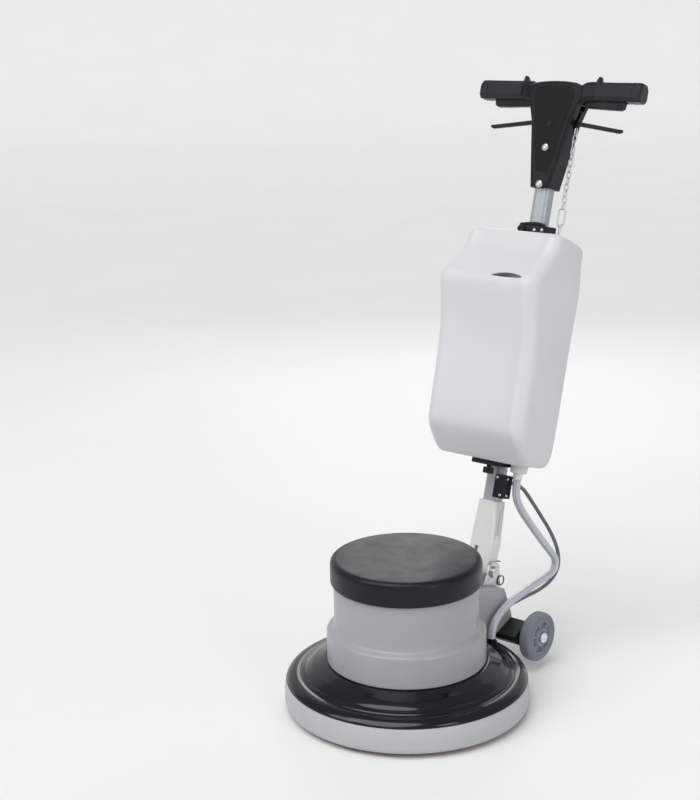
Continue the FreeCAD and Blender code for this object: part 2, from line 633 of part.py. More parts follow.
group("socket_bolts", [side_bolt("socket_bolt_1", 84, 18.2, 6, 3, 3.5, 8, "front"),
                       side_bolt("socket_bolt_2", 118, 18.2, 6, 3, 3.5, 8, "front")], HANDLE)
group("head_bolts", [side_bolt("head_bolt_1", 797, -S("head_front"), 8, 4, 4, 14, "rear"),
                     side_bolt("head_bolt_2", 872, -S("head_front"), 8, 4, 4, 14, "rear")], HANDLE)

# control head, two shells that part on the tube's mid plane
outline = [(22.5, 790), (37, 872), (46, 925), (54, 950), (60, 966), (62, 972), (62, 1000), (45, 1006), (20, 1008.5), (0, 1009)]
inner = [(20.2, 793), (33.8, 872), (42.8, 925), (50.6, 950), (56.7, 967), (59, 973.5), (59, 998), (44, 1003), (20, 1005.5), (0, 1006)]


def both(points):
    return points + [(-x, y) for x, y in reversed(points) if x > 0]


hf, hq = S("head_front"), S("head_rear")
for name, at, depth, cut_at, cut_depth in (("head_front_shell", dim(0), hf, dim(-1), hf - 2), ("head_rear_shell", -hq, hq, -hq + 3, hq - 2)):
    body = new_body(name, HANDLE)
    extrude(body, "XZ_Plane", at, depth, lambda sk: polygon(sk, both(outline)))
    if name == "head_front_shell":
        round_edges(body, 5, lambda e: abs(mid(e).y + SIZES["head_front"]) < 0.01)
    else:
        round_edges(body, 6, lambda e: abs(mid(e).y - SIZES["head_rear"]) < 0.01)
    extrude(body, "XZ_Plane", cut_at, cut_depth, lambda sk: polygon(sk, both(inner)), cut=True)
    extrude(body, "XY_Plane", 780, 20, rect(-th, th, -td, td), cut=True)
    for sign in (1, -1):
        # slots where the triggers and the levers come out of the shell
        extrude(body, "XZ_Plane", -8.5, 17, rect(sign * 50.0, sign * 70.0, 952, 987), cut=True)
        extrude(body, "XZ_Plane", -4.5, 9, rect(sign * 40.0, sign * 60.0, 914, 951), cut=True)
    if name == "head_front_shell":
        for s in (797, 872):
            extrude(body, "XZ_Plane", 18, 10, lambda sk: circle(sk, 0, s, 4.05), cut=True)
    else:
        for px, pz in ((S("trigger_in"), S("trigger_high")), (-S("trigger_in"), S("trigger_high")),
                       (-S("left_pivot") * -1, S("lever_high")), (S("right_pivot"), S("lever_high"))):
            extrude(body, "XZ_Plane", -22, 33, lambda sk: circle(sk, px, pz, 3))
        extrude(body, "XZ_Plane", -26, 6, lambda sk: circle(sk, 0, 830, 7), cut=True)

gi, go, gw, gh, gt = S("grip_in"), S("grip_out"), S("grip_low"), S("grip_high"), S("grip_half")
for side, sign in (("right", 1.0), ("left", -1.0)):
    body = new_body("grip_" + side, HANDLE)
    sec = [(-gt, gw + 8), (-gt + 6, gw), (gt - 6, gw), (gt, gw + 8), (gt, gh - 10), (gt - 8, gh), (-gt + 8, gh), (-gt, gh - 10)]
    start = gi if sign > 0 else -go
    extrude(body, "YZ_Plane", start, go - gi, lambda sk: polygon(sk, sec))
    # trigger slot below, thumb-button slot above
    extrude(body, "XZ_Plane", -8.5, 17, rect(sign * 60.0, sign * 156.0, 960, 986.5), cut=True)
    extrude(body, "XZ_Plane", -5, 10, rect(sign * 80.0, sign * 94.0, 993.5, 1015), cut=True)
    end = sign * SIZES["grip_out"]
    round_edges(body, 5, lambda e: abs(e.BoundBox.XMin - end) < 0.01 and abs(e.BoundBox.XMax - end) < 0.01)

    body = new_body("trigger_" + side, HANDLE)
    shape = [(47, 972), (50, 981), (58, 982), (63, 976), (150, 975), (153, 971), (151, 958), (146, 955.5), (120, 956), (72, 958), (60, 963), (50, 967)]
    extrude(body, "XZ_Plane", -7, 14, lambda sk: polygon(sk, [(sign * x, z) for x, z in shape]))
    extrude(body, "XZ_Plane", -12, 24, lambda sk: circle(sk, S("trigger_in") * sign, S("trigger_high"), 3.05), cut=True)
    round_edges(body, 3, lambda e: abs(abs(mid(e).y) - 7) < 0.01 and mid(e).z < 960)

    body = new_body("thumb_button_" + side, HANDLE)
    shape = [(81, 999), (93, 999), (93, 1012), (90, 1022), (86, 1022), (81, 1014)]
    extrude(body, "XZ_Plane", -4.5, 9, lambda sk: polygon(sk, [(sign * x, z) for x, z in shape]))

# hand levers: the left one frees the tilt brake, the right one opens the tank valve
body = new_body("release_lever", HANDLE)
shape = [(17, 922), (17, 932), (4, 934), (-40, 932), (-60, 930), (-148, 918.5), (-156, 918), (-158, 913), (-150, 910), (-60, 921), (-40, 922), (4, 920)]
extrude(body, "XZ_Plane", -2.5, 5, lambda sk: polygon(sk, shape))
extrude(body, "XZ_Plane", -8, 16, lambda sk: circle(sk, S("left_pivot"), S("lever_high"), 3.05), cut=True)
body = new_body("valve_lever", HANDLE)
shape = [(23, 922), (23, 932), (36, 934), (60, 930), (148, 918.5), (156, 918), (158, 913), (150, 910), (60, 921), (36, 920)]
extrude(body, "XZ_Plane", -2.5, 5, lambda sk: polygon(sk, shape))
extrude(body, "XZ_Plane", -8, 16, lambda sk: circle(sk, S("right_pivot"), S("lever_high"), 3.05), cut=True)

# tilt-brake rod inside the tube, with its shoe above the sector
rs, rr = S("rod_side"), S("rod_rad")
rod = cyl("rod_bar", rr, 879, (-rs, 0, 39), "z")
shoe = block("rod_shoe", -rs - 3.2, -rs + 3.2, -9, 9, 28.4, 40)
fuse("lock_rod", [rod, shoe], HANDLE)

# valve rod through the tank, with its bail and pull chain
vx, vy = S("chain_side"), -S("chain_front")
fuse("valve_rod", [
    cyl("valve_plug", 8, 8, (vx, vy, 233), "z"), cyl("valve_stem", 2.5, 479, (vx, vy, 240), "z"),
    block("bail_low", vx - 8.5, vx + 8.5, vy - 1.6, vy + 1.6, 718, 721.2),
    block("bail_side_a", vx - 8.5, vx - 5.3, vy - 1.6, vy + 1.6, 718, 751),
    block("bail_side_b", vx + 5.3, vx + 8.5, vy - 1.6, vy + 1.6, 718, 751),
    block("bail_high", vx - 8.5, vx + 8.5, vy - 1.6, vy + 1.6, 748, 751),
    cyl("pull_chain", 2.4, 168, (vx, vy, 750), "z")], HANDLE)

# solution tank: a moulded shell with a groove for the tube and a fill mouth
tf, tr, tk, tl, tt = S("tank_front"), S("tank_rear"), S("tank_wall"), S("tank_low"), S("tank_high")
hw = S("tank_half")
side = [(tr, tl + 14), (tr - 8, tl), (-84, tl), (-118, tl + 30), (-127, tl + 62), (-130, 350), (-134, 447), (-148, 513), (-tf + 5, 560), (-tf, 578),
        (-tf + 2, 592), (-tf + 11, 604), (-140, 620), (-118, 640), (-104, 658), (-97, 676), (-93, tt - 8), (-85, tt), (-20, tt), (tr - 12, tt - 8), (tr, tt - 24)]
hollow = [(-24, tl + tk), (-82, tl + tk), (-115, tl + 33), (-123, tl + 63), (-126, 350), (-130, 447), (-144, 513), (-tf + 9, 560), (-tf + 4, 578), (-tf + 6, 590),
          (-tf + 14, 601), (-137, 617), (-115, 636), (-100, 656), (-93, 676), (-89, tt - 10), (-83, tt - tk), (-24, tt - tk)]
shoulder = [(112, 730), (112, 640), (hw + 0.5, 588), (hw + 20, 588), (hw + 20, 730)]
body = new_body("solution_tank", HANDLE)
extrude(body, "YZ_Plane", -hw, hw * 2, lambda sk: polygon(sk, side))
round_edges(body, 14, lambda e: abs(abs(mid(e).x) - SIZES["tank_half"]) < 0.01 and mid(e).y < -100 and mid(e).z > 240)
extrude(body, "XZ_Plane", -30, 230, lambda sk: polygon(sk, shoulder), cut=True)
extrude(body, "XZ_Plane", -30, 230, lambda sk: polygon(sk, [(-x, z) for x, z in shoulder]), cut=True)
extrude(body, "XY_Plane", 220, 500, rect(-S("groove_half"), S("groove_half"), -S("groove_deep"), 30), cut=True)
extrude(body, "YZ_Plane", -108, 216, lambda sk: polygon(sk, hollow), cut=True)
for sign in (1.0, -1.0):
    extrude(body, "XY_Plane", tl + 18, 416, rect(sign * 24.5, sign * 108.0, -25, 9), cut=True)
extrude(body, "XZ_Plane", 120, 60, rect(14, 88, 590, 602), cut=True)
extrude(body, "XY_Plane", 655, 60, lambda sk: circle(sk, vx, vy, 3.3), cut=True)
extrude(body, "XY_Plane", 232, 14, lambda sk: circle(sk, vx, vy, 10.5), cut=True)
extrude(body, "XY_Plane", 220, 24, lambda sk: circle(sk, vx, vy, 5), cut=True)

body = new_body("outlet_nut", HANDLE)
sk = sketch_on(body, "XY_Plane", 196.4)
circle(sk, vx, vy, 9.5)
f = body.newObject("PartDesign::Pad", "Spout")
f.Profile = sk
f.Length = 13.6
hexagon = [(vx + 16.8 * math.cos(math.radians(60 * k)), vy + 16.8 * math.sin(math.radians(60 * k))) for k in range(6)]
extrude(body, "XY_Plane", 209, 19, lambda sk: polygon(sk, hexagon))
extrude(body, "XY_Plane", 190, 45, lambda sk: circle(sk, vx, vy, 4), cut=True)

body = new_body("lower_bracket", HANDLE)
extrude(body, "XY_Plane", 218, 9.9, lambda sk: polygon(sk, [(-30, 19), (24, 19), (36, 19), (36, -56), (20, -64), (-24, -64), (-30, -56)]))
extrude(body, "XY_Plane", 210, 30, rect(-th, th, -td, td), cut=True)
round_edges(body, 2, lambda e: along(e, Z) and abs(mid(e).y) > 18)

body = new_body("bracket_knob", HANDLE)
sk = sketch_on(body, "XY_Plane", 200)
circle(sk, 6, -44, 11)
f = body.newObject("PartDesign::Pad", "Knob")
f.Profile = sk
f.Length = 12
extrude(body, "XY_Plane", 211, 6.9, lambda sk: circle(sk, 6, -44, 5))
round_edges(body, 2, lambda e: abs(mid(e).z - 200) < 0.01)

body = new_body("upper_clip", HANDLE)
extrude(body, "XY_Plane", 694, 18, lambda sk: polygon(sk, [(-39, -14), (-26, -24), (26, -24), (44, -16), (48, -8), (36, 2), (26, 18), (-26, 18), (-34, 4)]))
extrude(body, "XY_Plane", 690, 40, rect(-th, th, -td, td), cut=True)

body = new_body("capacitor_box", HANDLE)
extrude(body, "XY_Plane", 154, 47, rect(th + 0.2, 43.6, -35, -5))
round_edges(body, 2, lambda e: abs(mid(e).x - 43.6) < 0.01)
extrude(body, "YZ_Plane", 18, 23.2, rect(-32.5, -7.5, 156.5, 198.5), cut=True)
group("capacitor", [cyl("capacitor_can", 9, 36, (31, -20, 160), "z")], HANDLE)

# micro switches that the triggers' inner ends press
sw = [block("switch_a", 34, 49, -8, 8, 950, 961), block("switch_b", -49, -34, -8, 8, 950, 961)]
group("trigger_switches", sw, HANDLE)

body = new_body("cord_inlet", HANDLE)
sk = sketch_on(body, "XZ_Plane", -21.5)
circle(sk, 0, 830, 6.95)
f = body.newObject("PartDesign::Pad", "Stem")
f.Profile = sk
f.Length = 18
f.Reversed = True
sk = sketch_on(body, "XZ_Plane", -24.05)
circle(sk, 0, 830, 10)
f = body.newObject("PartDesign::Pad", "Collar")
f.Profile = sk
f.Length = 5
f.Reversed = True
extrude(body, "XZ_Plane", -50, 30, lambda sk: circle(sk, 0, 830, 4), cut=True)


# ------------------------------------------------------- the hose and the cable
def rounded_route(label, points, r):
    """A tube of radius r along straight runs joined by tangent arcs."""
    pts = [Vector(*p) for p in points]
    edges = []
    start = pts[0]
    radii = []
    for i in range(1, len(pts) - 1):
        a, b, c = pts[i - 1], pts[i], pts[i + 1]
        u, w = (b - a), (c - b)
        lu, lw = u.Length, w.Length
        u.normalize()
        w.normalize()
        half = math.acos(max(-1, min(1, u.dot(w)))) / 2
        t = 0.45 * min(lu, lw)
        radius = t / math.tan(half)
        radii.append(radius)
        p0, p1 = b - u * t, b + w * t
        bis = (w - u)
        bis.normalize()
        m = b + bis * (radius / math.cos(half) - radius)
        edges.append(Part.LineSegment(start, p0).toShape())
        edges.append(Part.Arc(p0, m, p1).toShape())
        start = p1
    edges.append(Part.LineSegment(start, pts[-1]).toShape())
    wire = Part.Wire(edges)
    d = (pts[1] - pts[0])
    d.normalize()
    profile = Part.Wire([Part.Circle(pts[0], d, r).toShape()])
    solid = wire.makePipeShell([profile], True, False, 2)
    if solid.Volume < 0:
        solid.reverse()
    want = math.pi * r * r * wire.Length
    print("%s: length %.1f mm, volume %.0f of %.0f, radii %s" % (label, wire.Length, solid.Volume, want, " ".join("%.0f" % q for q in radii)))
    obj = doc.addObject("Part::Feature", label)
    obj.Label = label
    obj.Shape = solid
    obj.Placement = Placement()
    PARTS.append(obj)
    return obj


def at_handle(x, y, z):
    a = math.radians(SIZES["handle_lean"])
    return (x, SIZES["hinge_back"] + y * math.cos(a) + z * math.sin(a), SIZES["hinge_high"] - y * math.sin(a) + z * math.cos(a))


cs_, cfr = SIZES["chain_side"], SIZES["chain_front"]
h0 = at_handle(cs_, -cfr, 195.9)
h1 = at_handle(cs_ + 0.5, -cfr, 168)
HOSE = [h0, h1, (57, 303, 337), (60, 322, 311), (62, 350, 278), (64, 384, 240), (65, 411, 212), (66, 430, 192), (66, 431.5, 174), (66, 419, 162),
        (66, 392, 159), (66, 350, 155.5), (66, 306, 151), (66, 264, 145.5), (66, 231, 135), (66, 207, 120), (66, 196.5, 104), (66, 195, 88)]
c0 = at_handle(36, -4.8, 186)
c1 = at_handle(36, 14, 186)
CABLE = [c0, c1, (37.5, 345, 363), (38.5, 371, 334), (39, 408, 291), (40, 449, 242), (40.5, 477, 198), (41, 487, 162), (41, 475, 137), (41, 445, 124), (41, 402, 119),
         (41, 356, 121), (39, 307, 119), (35, 268, 118), (28, 235, 119.5), (22, 205, 120.5), (20, 176.1, 120)]
rounded_route("water_hose", HOSE, SIZES["hose_rad"])
rounded_route("motor_cable", CABLE, SIZES["cable_rad"])

# ------------------------------------------------------------------ check, write
doc.recompute()
bad = []
for o in doc.Objects:
    if any(word in o.State for word in ("Invalid", "Error")):
        bad.append("%s %s %s" % (o.Name, o.Label, o.State))
labels = [p.Label for p in PARTS]
if len(set(labels)) != len(labels):
    bad.append("labels repeat: " + ", ".join(sorted(n for n in labels if labels.count(n) > 1)))
for p in PARTS:
    sh = p.Shape
    if sh.isNull() or not sh.isValid() or sh.Volume < 1:
        bad.append("%s has no good shape" % p.Label)
    elif not sh.Solids:
        bad.append("%s has no solid" % p.Label)
if bad:
    raise RuntimeError("; ".join(bad))
os.makedirs("parts", exist_ok=True)
for p in PARTS:
    p.Shape.exportStep("parts/%s.step" % p.Label)
print("%d parts written" % len(PARTS))
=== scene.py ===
import bpy
import math
import random
from mathutils import Matrix, Vector


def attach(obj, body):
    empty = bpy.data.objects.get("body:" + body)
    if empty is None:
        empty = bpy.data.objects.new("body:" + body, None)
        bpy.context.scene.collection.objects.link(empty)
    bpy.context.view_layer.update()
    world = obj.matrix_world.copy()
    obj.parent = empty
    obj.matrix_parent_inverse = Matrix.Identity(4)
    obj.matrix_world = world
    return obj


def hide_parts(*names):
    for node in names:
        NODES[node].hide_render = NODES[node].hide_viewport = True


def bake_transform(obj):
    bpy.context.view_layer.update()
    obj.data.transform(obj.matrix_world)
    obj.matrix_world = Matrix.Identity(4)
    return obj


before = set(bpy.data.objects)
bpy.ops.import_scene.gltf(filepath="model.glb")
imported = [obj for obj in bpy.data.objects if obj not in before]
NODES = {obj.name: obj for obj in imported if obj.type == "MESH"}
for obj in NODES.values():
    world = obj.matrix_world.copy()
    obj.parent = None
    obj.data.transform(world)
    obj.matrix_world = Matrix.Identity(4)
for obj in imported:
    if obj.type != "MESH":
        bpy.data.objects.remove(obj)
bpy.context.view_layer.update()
random.seed(7)
MM = 0.001
scene = bpy.context.scene

# ------------------------------------------------------------------ camera
PHI = math.radians(38.0)
D, H, PITCH, PAN, ROLL = 2.7218, 1.3121, 0.249946, 0.037879, -0.015797


def to_row(v):
    c, s = math.cos(PHI), math.sin(PHI)
    return Vector((v[0] * c - v[1] * s, v[0] * s + v[1] * c, v[2]))


right0 = Vector((math.cos(PAN), math.sin(PAN), 0))
up0 = Vector((-math.sin(PAN) * math.sin(PITCH), math.cos(PAN) * math.sin(PITCH), math.cos(PITCH)))
fwd = Vector((-math.sin(PAN) * math.cos(PITCH), math.cos(PAN) * math.cos(PITCH), -math.sin(PITCH)))
right = right0 * math.cos(ROLL) + up0 * math.sin(ROLL)
up = up0 * math.cos(ROLL) - right0 * math.sin(ROLL)
R3, U3, F3 = to_row(right), to_row(up), to_row(fwd)
cam_data = bpy.data.cameras.new("camera")
cam_data.lens = 67.5
cam_data.sensor_width = 36.0
cam = bpy.data.objects.new("camera", cam_data)
scene.collection.objects.link(cam)
m = Matrix((R3, U3, -F3)).transposed().to_4x4()
m.translation = to_row(Vector((0, -D, H)))
cam.matrix_world = m
scene.camera = cam


# --------------------------------------------------------------- materials
def make_material(name, base, rough=0.45, metal=0.0, tone=0.06, tone_scale=9.0, rough_var=0.08, rough_scale=30.0,
                  bump=0.05, bump_scale=900.0, coat=0.0, coat_rough=0.1, spec=0.5, transmission=0.0, subsurface=0.0,
                  wear=None, dust=None, streak=None, grain=None, stripe=None, ior=1.45, speck=None):
    """Colour drift, roughness drift and fine relief from procedural noise; optional edge wear, dust and streaks."""
    mat = bpy.data.materials.new(name)
    mat.use_nodes = True
    nt = mat.node_tree
    nt.nodes.clear()
    N, L = nt.nodes.new, nt.links.new
    out = N("ShaderNodeOutputMaterial")
    p = N("ShaderNodeBsdfPrincipled")
    L(p.outputs[0], out.inputs[0])
    co = N("ShaderNodeTexCoord")
    src = co.outputs["Object"]
    if streak:
        mp = N("ShaderNodeMapping")
        mp.inputs["Scale"].default_value = streak
        L(src, mp.inputs["Vector"])
        streak_src = mp.outputs[0]
    n1 = N("ShaderNodeTexNoise")
    n1.inputs["Scale"].default_value = tone_scale
    n1.inputs["Detail"].default_value = 5.0
    L(streak_src if streak else src, n1.inputs["Vector"])
    ramp = N("ShaderNodeValToRGB")
    ramp.color_ramp.elements[0].position = 0.3
    ramp.color_ramp.elements[1].position = 0.7
    ramp.color_ramp.elements[0].color = tuple(max(0, c * (1 - tone)) for c in base) + (1,)
    ramp.color_ramp.elements[1].color = tuple(min(1, c * (1 + tone)) for c in base) + (1,)
    L(n1.outputs["Fac"], ramp.inputs["Fac"])
    colour = ramp.outputs["Color"]

    def over(colour, fac, top):
        mx = N("ShaderNodeMix")
        mx.data_type = "RGBA"
        L(fac, mx.inputs[0])
        L(colour, mx.inputs[6])
        mx.inputs[7].default_value = tuple(top) + (1,)
        return mx.outputs[2]

    if speck:
        ns = N("ShaderNodeTexNoise")
        ns.inputs["Scale"].default_value = speck[0]
        ns.inputs["Detail"].default_value = 2.0
        L(src, ns.inputs["Vector"])
        mr = N("ShaderNodeMapRange")
        mr.inputs["From Min"].default_value = 0.55
        mr.inputs["From Max"].default_value = 0.75
        mr.inputs["To Max"].default_value = speck[1]
        L(ns.outputs["Fac"], mr.inputs["Value"])
        colour = over(colour, mr.outputs[0], speck[2])
    if dust:
        z0, z1, amount, tint = dust
        sx = N("ShaderNodeSeparateXYZ")
        L(src, sx.inputs[0])
        mr = N("ShaderNodeMapRange")
        mr.inputs["From Min"].default_value = z0
        mr.inputs["From Max"].default_value = z1
        mr.inputs["To Min"].default_value = amount
        mr.inputs["To Max"].default_value = 0.0
        L(sx.outputs["Z"], mr.inputs["Value"])
        nd = N("ShaderNodeTexNoise")
        nd.inputs["Scale"].default_value = 22.0
        nd.inputs["Detail"].default_value = 8.0
        L(src, nd.inputs["Vector"])
        mu = N("ShaderNodeMath")
        mu.operation = "MULTIPLY"
        L(mr.outputs[0], mu.inputs[0])
        L(nd.outputs["Fac"], mu.inputs[1])
        colour = over(colour, mu.outputs[0], tint)
    if wear:
        geo = N("ShaderNodeNewGeometry")
        mr = N("ShaderNodeMapRange")
        mr.inputs["From Min"].default_value = 0.52
        mr.inputs["From Max"].default_value = 0.60
        mr.inputs["To Max"].default_value = wear[0]
        L(geo.outputs["Pointiness"], mr.inputs["Value"])
        nw = N("ShaderNodeTexNoise")
        nw.inputs["Scale"].default_value = 60.0
        nw.inputs["Detail"].default_value = 6.0
        L(src, nw.inputs["Vector"])
        mu = N("ShaderNodeMath")
        mu.operation = "MULTIPLY"
        L(mr.outputs[0], mu.inputs[0])
        L(nw.outputs["Fac"], mu.inputs[1])
        colour = over(colour, mu.outputs[0], wear[1])
    if stripe:
        uvn = N("ShaderNodeUVMap")
        uvn.uv_map = "UVMap"
        sx = N("ShaderNodeSeparateXYZ")
        L(uvn.outputs[0], sx.inputs[0])
        sb = N("ShaderNodeMath")
        sb.operation = "SUBTRACT"
        L(sx.outputs["X"], sb.inputs[0])
        sb.inputs[1].default_value = stripe[0]
        ab = N("ShaderNodeMath")
        ab.operation = "ABSOLUTE"
        L(sb.outputs[0], ab.inputs[0])
        mr = N("ShaderNodeMapRange")
        mr.inputs["From Min"].default_value = stripe[1] * 0.6
        mr.inputs["From Max"].default_value = stripe[1]
        mr.inputs["To Min"].default_value = 0.85
        mr.inputs["To Max"].default_value = 0.0
        L(ab.outputs[0], mr.inputs["Value"])
        colour = over(colour, mr.outputs[0], stripe[2])
    L(colour, p.inputs["Base Color"])
    n2 = N("ShaderNodeTexNoise")
    n2.inputs["Scale"].default_value = rough_scale
    n2.inputs["Detail"].default_value = 6.0
    L(streak_src if streak else src, n2.inputs["Vector"])
    mr = N("ShaderNodeMapRange")
    mr.inputs["From Min"].default_value = 0.25
    mr.inputs["From Max"].default_value = 0.75
    mr.inputs["To Min"].default_value = max(0.02, rough - rough_var)
    mr.inputs["To Max"].default_value = min(1.0, rough + rough_var)
    L(n2.outputs["Fac"], mr.inputs["Value"])
    L(mr.outputs[0], p.inputs["Roughness"])
    if grain == "fibre":
        n3 = N("ShaderNodeTexVoronoi")
        n3.inputs["Scale"].default_value = bump_scale
        L(src, n3.inputs["Vector"])
        height = n3.outputs["Distance"]
    elif grain == "leather":
        n3 = N("ShaderNodeTexVoronoi")
        n3.inputs["Scale"].default_value = bump_scale
        L(src, n3.inputs["Vector"])
        height = n3.outputs["Distance"]
    else:
        n3 = N("ShaderNodeTexNoise")
        n3.inputs["Scale"].default_value = bump_scale
        n3.inputs["Detail"].default_value = 3.0
        L(streak_src if streak else src, n3.inputs["Vector"])
        height = n3.outputs["Fac"]
    b = N("ShaderNodeBump")
    b.inputs["Strength"].default_value = bump
    b.inputs["Distance"].default_value = 0.001
    L(height, b.inputs["Height"])
    L(b.outputs[0], p.inputs["Normal"])
    p.inputs["Metallic"].default_value = metal
    p.inputs["Specular IOR Level"].default_value = spec
    p.inputs["IOR"].default_value = ior
    p.inputs["Coat Weight"].default_value = coat
    p.inputs["Coat Roughness"].default_value = coat_rough
    p.inputs["Transmission Weight"].default_value = transmission
    p.inputs["Subsurface Weight"].default_value = subsurface
    if subsurface:
        p.inputs["Subsurface Radius"].default_value = (0.02, 0.02, 0.018)
        p.inputs["Subsurface Scale"].default_value = 0.6
    return mat


DUST = (0.55, 0.53, 0.50)
M = {}
M["bumper"] = make_material("bumper_grey", (0.46, 0.47, 0.50), 0.42, tone=0.04, bump=0.10, bump_scale=1400, spec=0.45,
                            dust=(0.008, 0.045, 0.35, (0.40, 0.39, 0.37)), wear=(0.5, (0.42, 0.42, 0.43)), subsurface=0.05)
M["deck"] = make_material("deck_gloss_black", (0.004, 0.0045, 0.008), 0.12, tone=0.25, rough_var=0.06, rough_scale=14, bump=0.03, bump_scale=160,
                          coat=0.15, coat_rough=0.05, spec=0.45, speck=(420, 0.05, (0.08, 0.08, 0.09)))
M["paint"] = make_material("housing_paint", (0.335, 0.35, 0.375), 0.38, tone=0.035, rough_var=0.07, bump=0.06, bump_scale=700, coat=0.25,
                           coat_rough=0.25, dust=(0.098, 0.125, 0.22, DUST), wear=(0.5, (0.55, 0.56, 0.58)))
M["cover"] = make_material("cover_charcoal", (0.007, 0.0075, 0.012), 0.36, tone=0.12, rough_var=0.06, bump=0.12, bump_scale=1500, spec=0.32,
                           speck=(700, 0.06, (0.06, 0.06, 0.08)))
M["moulded"] = make_material("moulded_black", (0.005, 0.0055, 0.009), 0.36, tone=0.15, rough_var=0.08, bump=0.14, bump_scale=1700, spec=0.35)
M["panel"] = make_material("panel_black", (0.009, 0.0085, 0.009), 0.58, tone=0.10, rough_var=0.06, bump=0.30, bump_scale=1100, grain="leather", speck=(260, 0.20, (0.035, 0.032, 0.03)), spec=0.25)
M["grip"] = make_material("grip_rubber", (0.008, 0.009, 0.015), 0.34, tone=0.14, rough_var=0.08, bump=0.22, bump_scale=900, grain="leather", spec=0.45)
M["powder"] = make_material("bracket_black", (0.006, 0.006, 0.007), 0.42, tone=0.2, bump=0.2, bump_scale=1300, wear=(0.3, (0.12, 0.12, 0.13)), spec=0.35)
M["tank"] = make_material("tank_polyethylene", (0.655, 0.67, 0.69), 0.42, tone=0.025, tone_scale=5, rough_var=0.06, bump=0.12, bump_scale=520, spec=0.4,
                          subsurface=0.25, wear=(0.35, (0.80, 0.81, 0.82)))
M["nut"] = make_material("nut_polyethylene", (0.76, 0.76, 0.75), 0.40, tone=0.03, bump=0.08, bump_scale=900, subsurface=0.15)
M["white"] = make_material("socket_white", (0.74, 0.745, 0.74), 0.33, tone=0.03, rough_var=0.08, bump=0.14, bump_scale=420, coat=0.3, coat_rough=0.2,
                           wear=(0.7, (0.45, 0.44, 0.42)), dust=(0.2, 0.36, 0.15, DUST))
M["channel"] = make_material("socket_channel", (0.50, 0.50, 0.50), 0.40, tone=0.08, rough_var=0.1, bump=0.2, bump_scale=420, wear=(0.6, (0.62, 0.62, 0.60)))
M["tube"] = make_material("tube_silver", (0.42, 0.44, 0.49), 0.42, metal=0.45, tone=0.05, rough_var=0.06, bump=0.05, bump_scale=40, streak=(30, 30, 1.2), tone_scale=12)
M["chrome"] = make_material("polished_steel", (0.62, 0.62, 0.62), 0.28, metal=1.0, tone=0.06, rough_var=0.08, bump=0.04, bump_scale=500, wear=(0.5, (0.45, 0.43, 0.40)))
M["zinc"] = make_material("zinc_steel", (0.60, 0.61, 0.63), 0.32, metal=1.0, tone=0.10, rough_var=0.10, bump=0.10, bump_scale=700)
M["dark_steel"] = make_material("dark_ring_steel", (0.10, 0.085, 0.065), 0.4, metal=0.6, tone=0.2, rough_var=0.1, bump=0.1, bump_scale=700)
M["gear"] = make_material("gear_steel", (0.36, 0.36, 0.37), 0.34, metal=1.0, tone=0.12, bump=0.08, bump_scale=800)
M["nylon"] = make_material("gear_nylon", (0.70, 0.66, 0.54), 0.45, tone=0.05, bump=0.08, bump_scale=700, subsurface=0.1)
M["alloy"] = make_material("cast_alloy", (0.46, 0.46, 0.47), 0.52, metal=0.9, tone=0.1, bump=0.5, bump_scale=420)
M["lamination"] = make_material("lamination", (0.14, 0.14, 0.16), 0.5, metal=0.6, tone=0.3, bump=0.5, bump_scale=60, streak=(2, 2, 60), tone_scale=20)
M["copper"] = make_material("winding_copper", (0.42, 0.15, 0.05), 0.35, metal=0.9, tone=0.25, bump=0.6, bump_scale=300)
M["tyre"] = make_material("tyre_grey", (0.185, 0.20, 0.225), 0.62, tone=0.10, tone_scale=30, rough_var=0.08, bump=0.35, bump_scale=520,
                          dust=(0.01, 0.05, 0.5, (0.36, 0.35, 0.33)), wear=(0.4, (0.30, 0.30, 0.31)))
M["hub"] = make_material("hub_blue_grey", (0.20, 0.235, 0.31), 0.42, tone=0.08, bump=0.15, bump_scale=900, wear=(0.6, (0.42, 0.45, 0.50)))
M["board"] = make_material("driver_board", (0.06, 0.06, 0.065), 0.55, tone=0.15, bump=0.4, bump_scale=300, grain="fibre")
M["pad"] = make_material("pad_fibre", (0.36, 0.03, 0.028), 0.9, tone=0.35, tone_scale=60, bump=1.0, bump_scale=420, grain="fibre", speck=(500, 0.5, (0.5, 0.18, 0.15)))
M["hose"] = make_material("hose_clear_grey", (0.50, 0.53, 0.60), 0.22, tone=0.06, rough_var=0.05, bump=0.05, bump_scale=300, spec=0.55, coat=0.4,
                          coat_rough=0.1, subsurface=0.2, stripe=(0.36, 0.030, (0.42, 0.16, 0.22)))
M["cable"] = make_material("cable_grey", (0.13, 0.14, 0.165), 0.42, tone=0.12, bump=0.25, bump_scale=800, wear=(0.3, (0.2, 0.2, 0.22)))
M["slit"] = make_material("mouth_shadow", (0.23, 0.25, 0.27), 0.6, tone=0.1, bump=0.1, bump_scale=500)
M["floor"] = make_material("pale_floor", (0.86, 0.86, 0.86), 0.6, tone=0.01, tone_scale=2, bump=0.03, bump_scale=80, spec=0.2)


# ------------------------------------------------------------- mesh helpers
LEAN = math.radians(16.0)
PH = Matrix.Translation((0, 0.251, 0.205)) @ Matrix.Rotation(-LEAN, 4, "X")


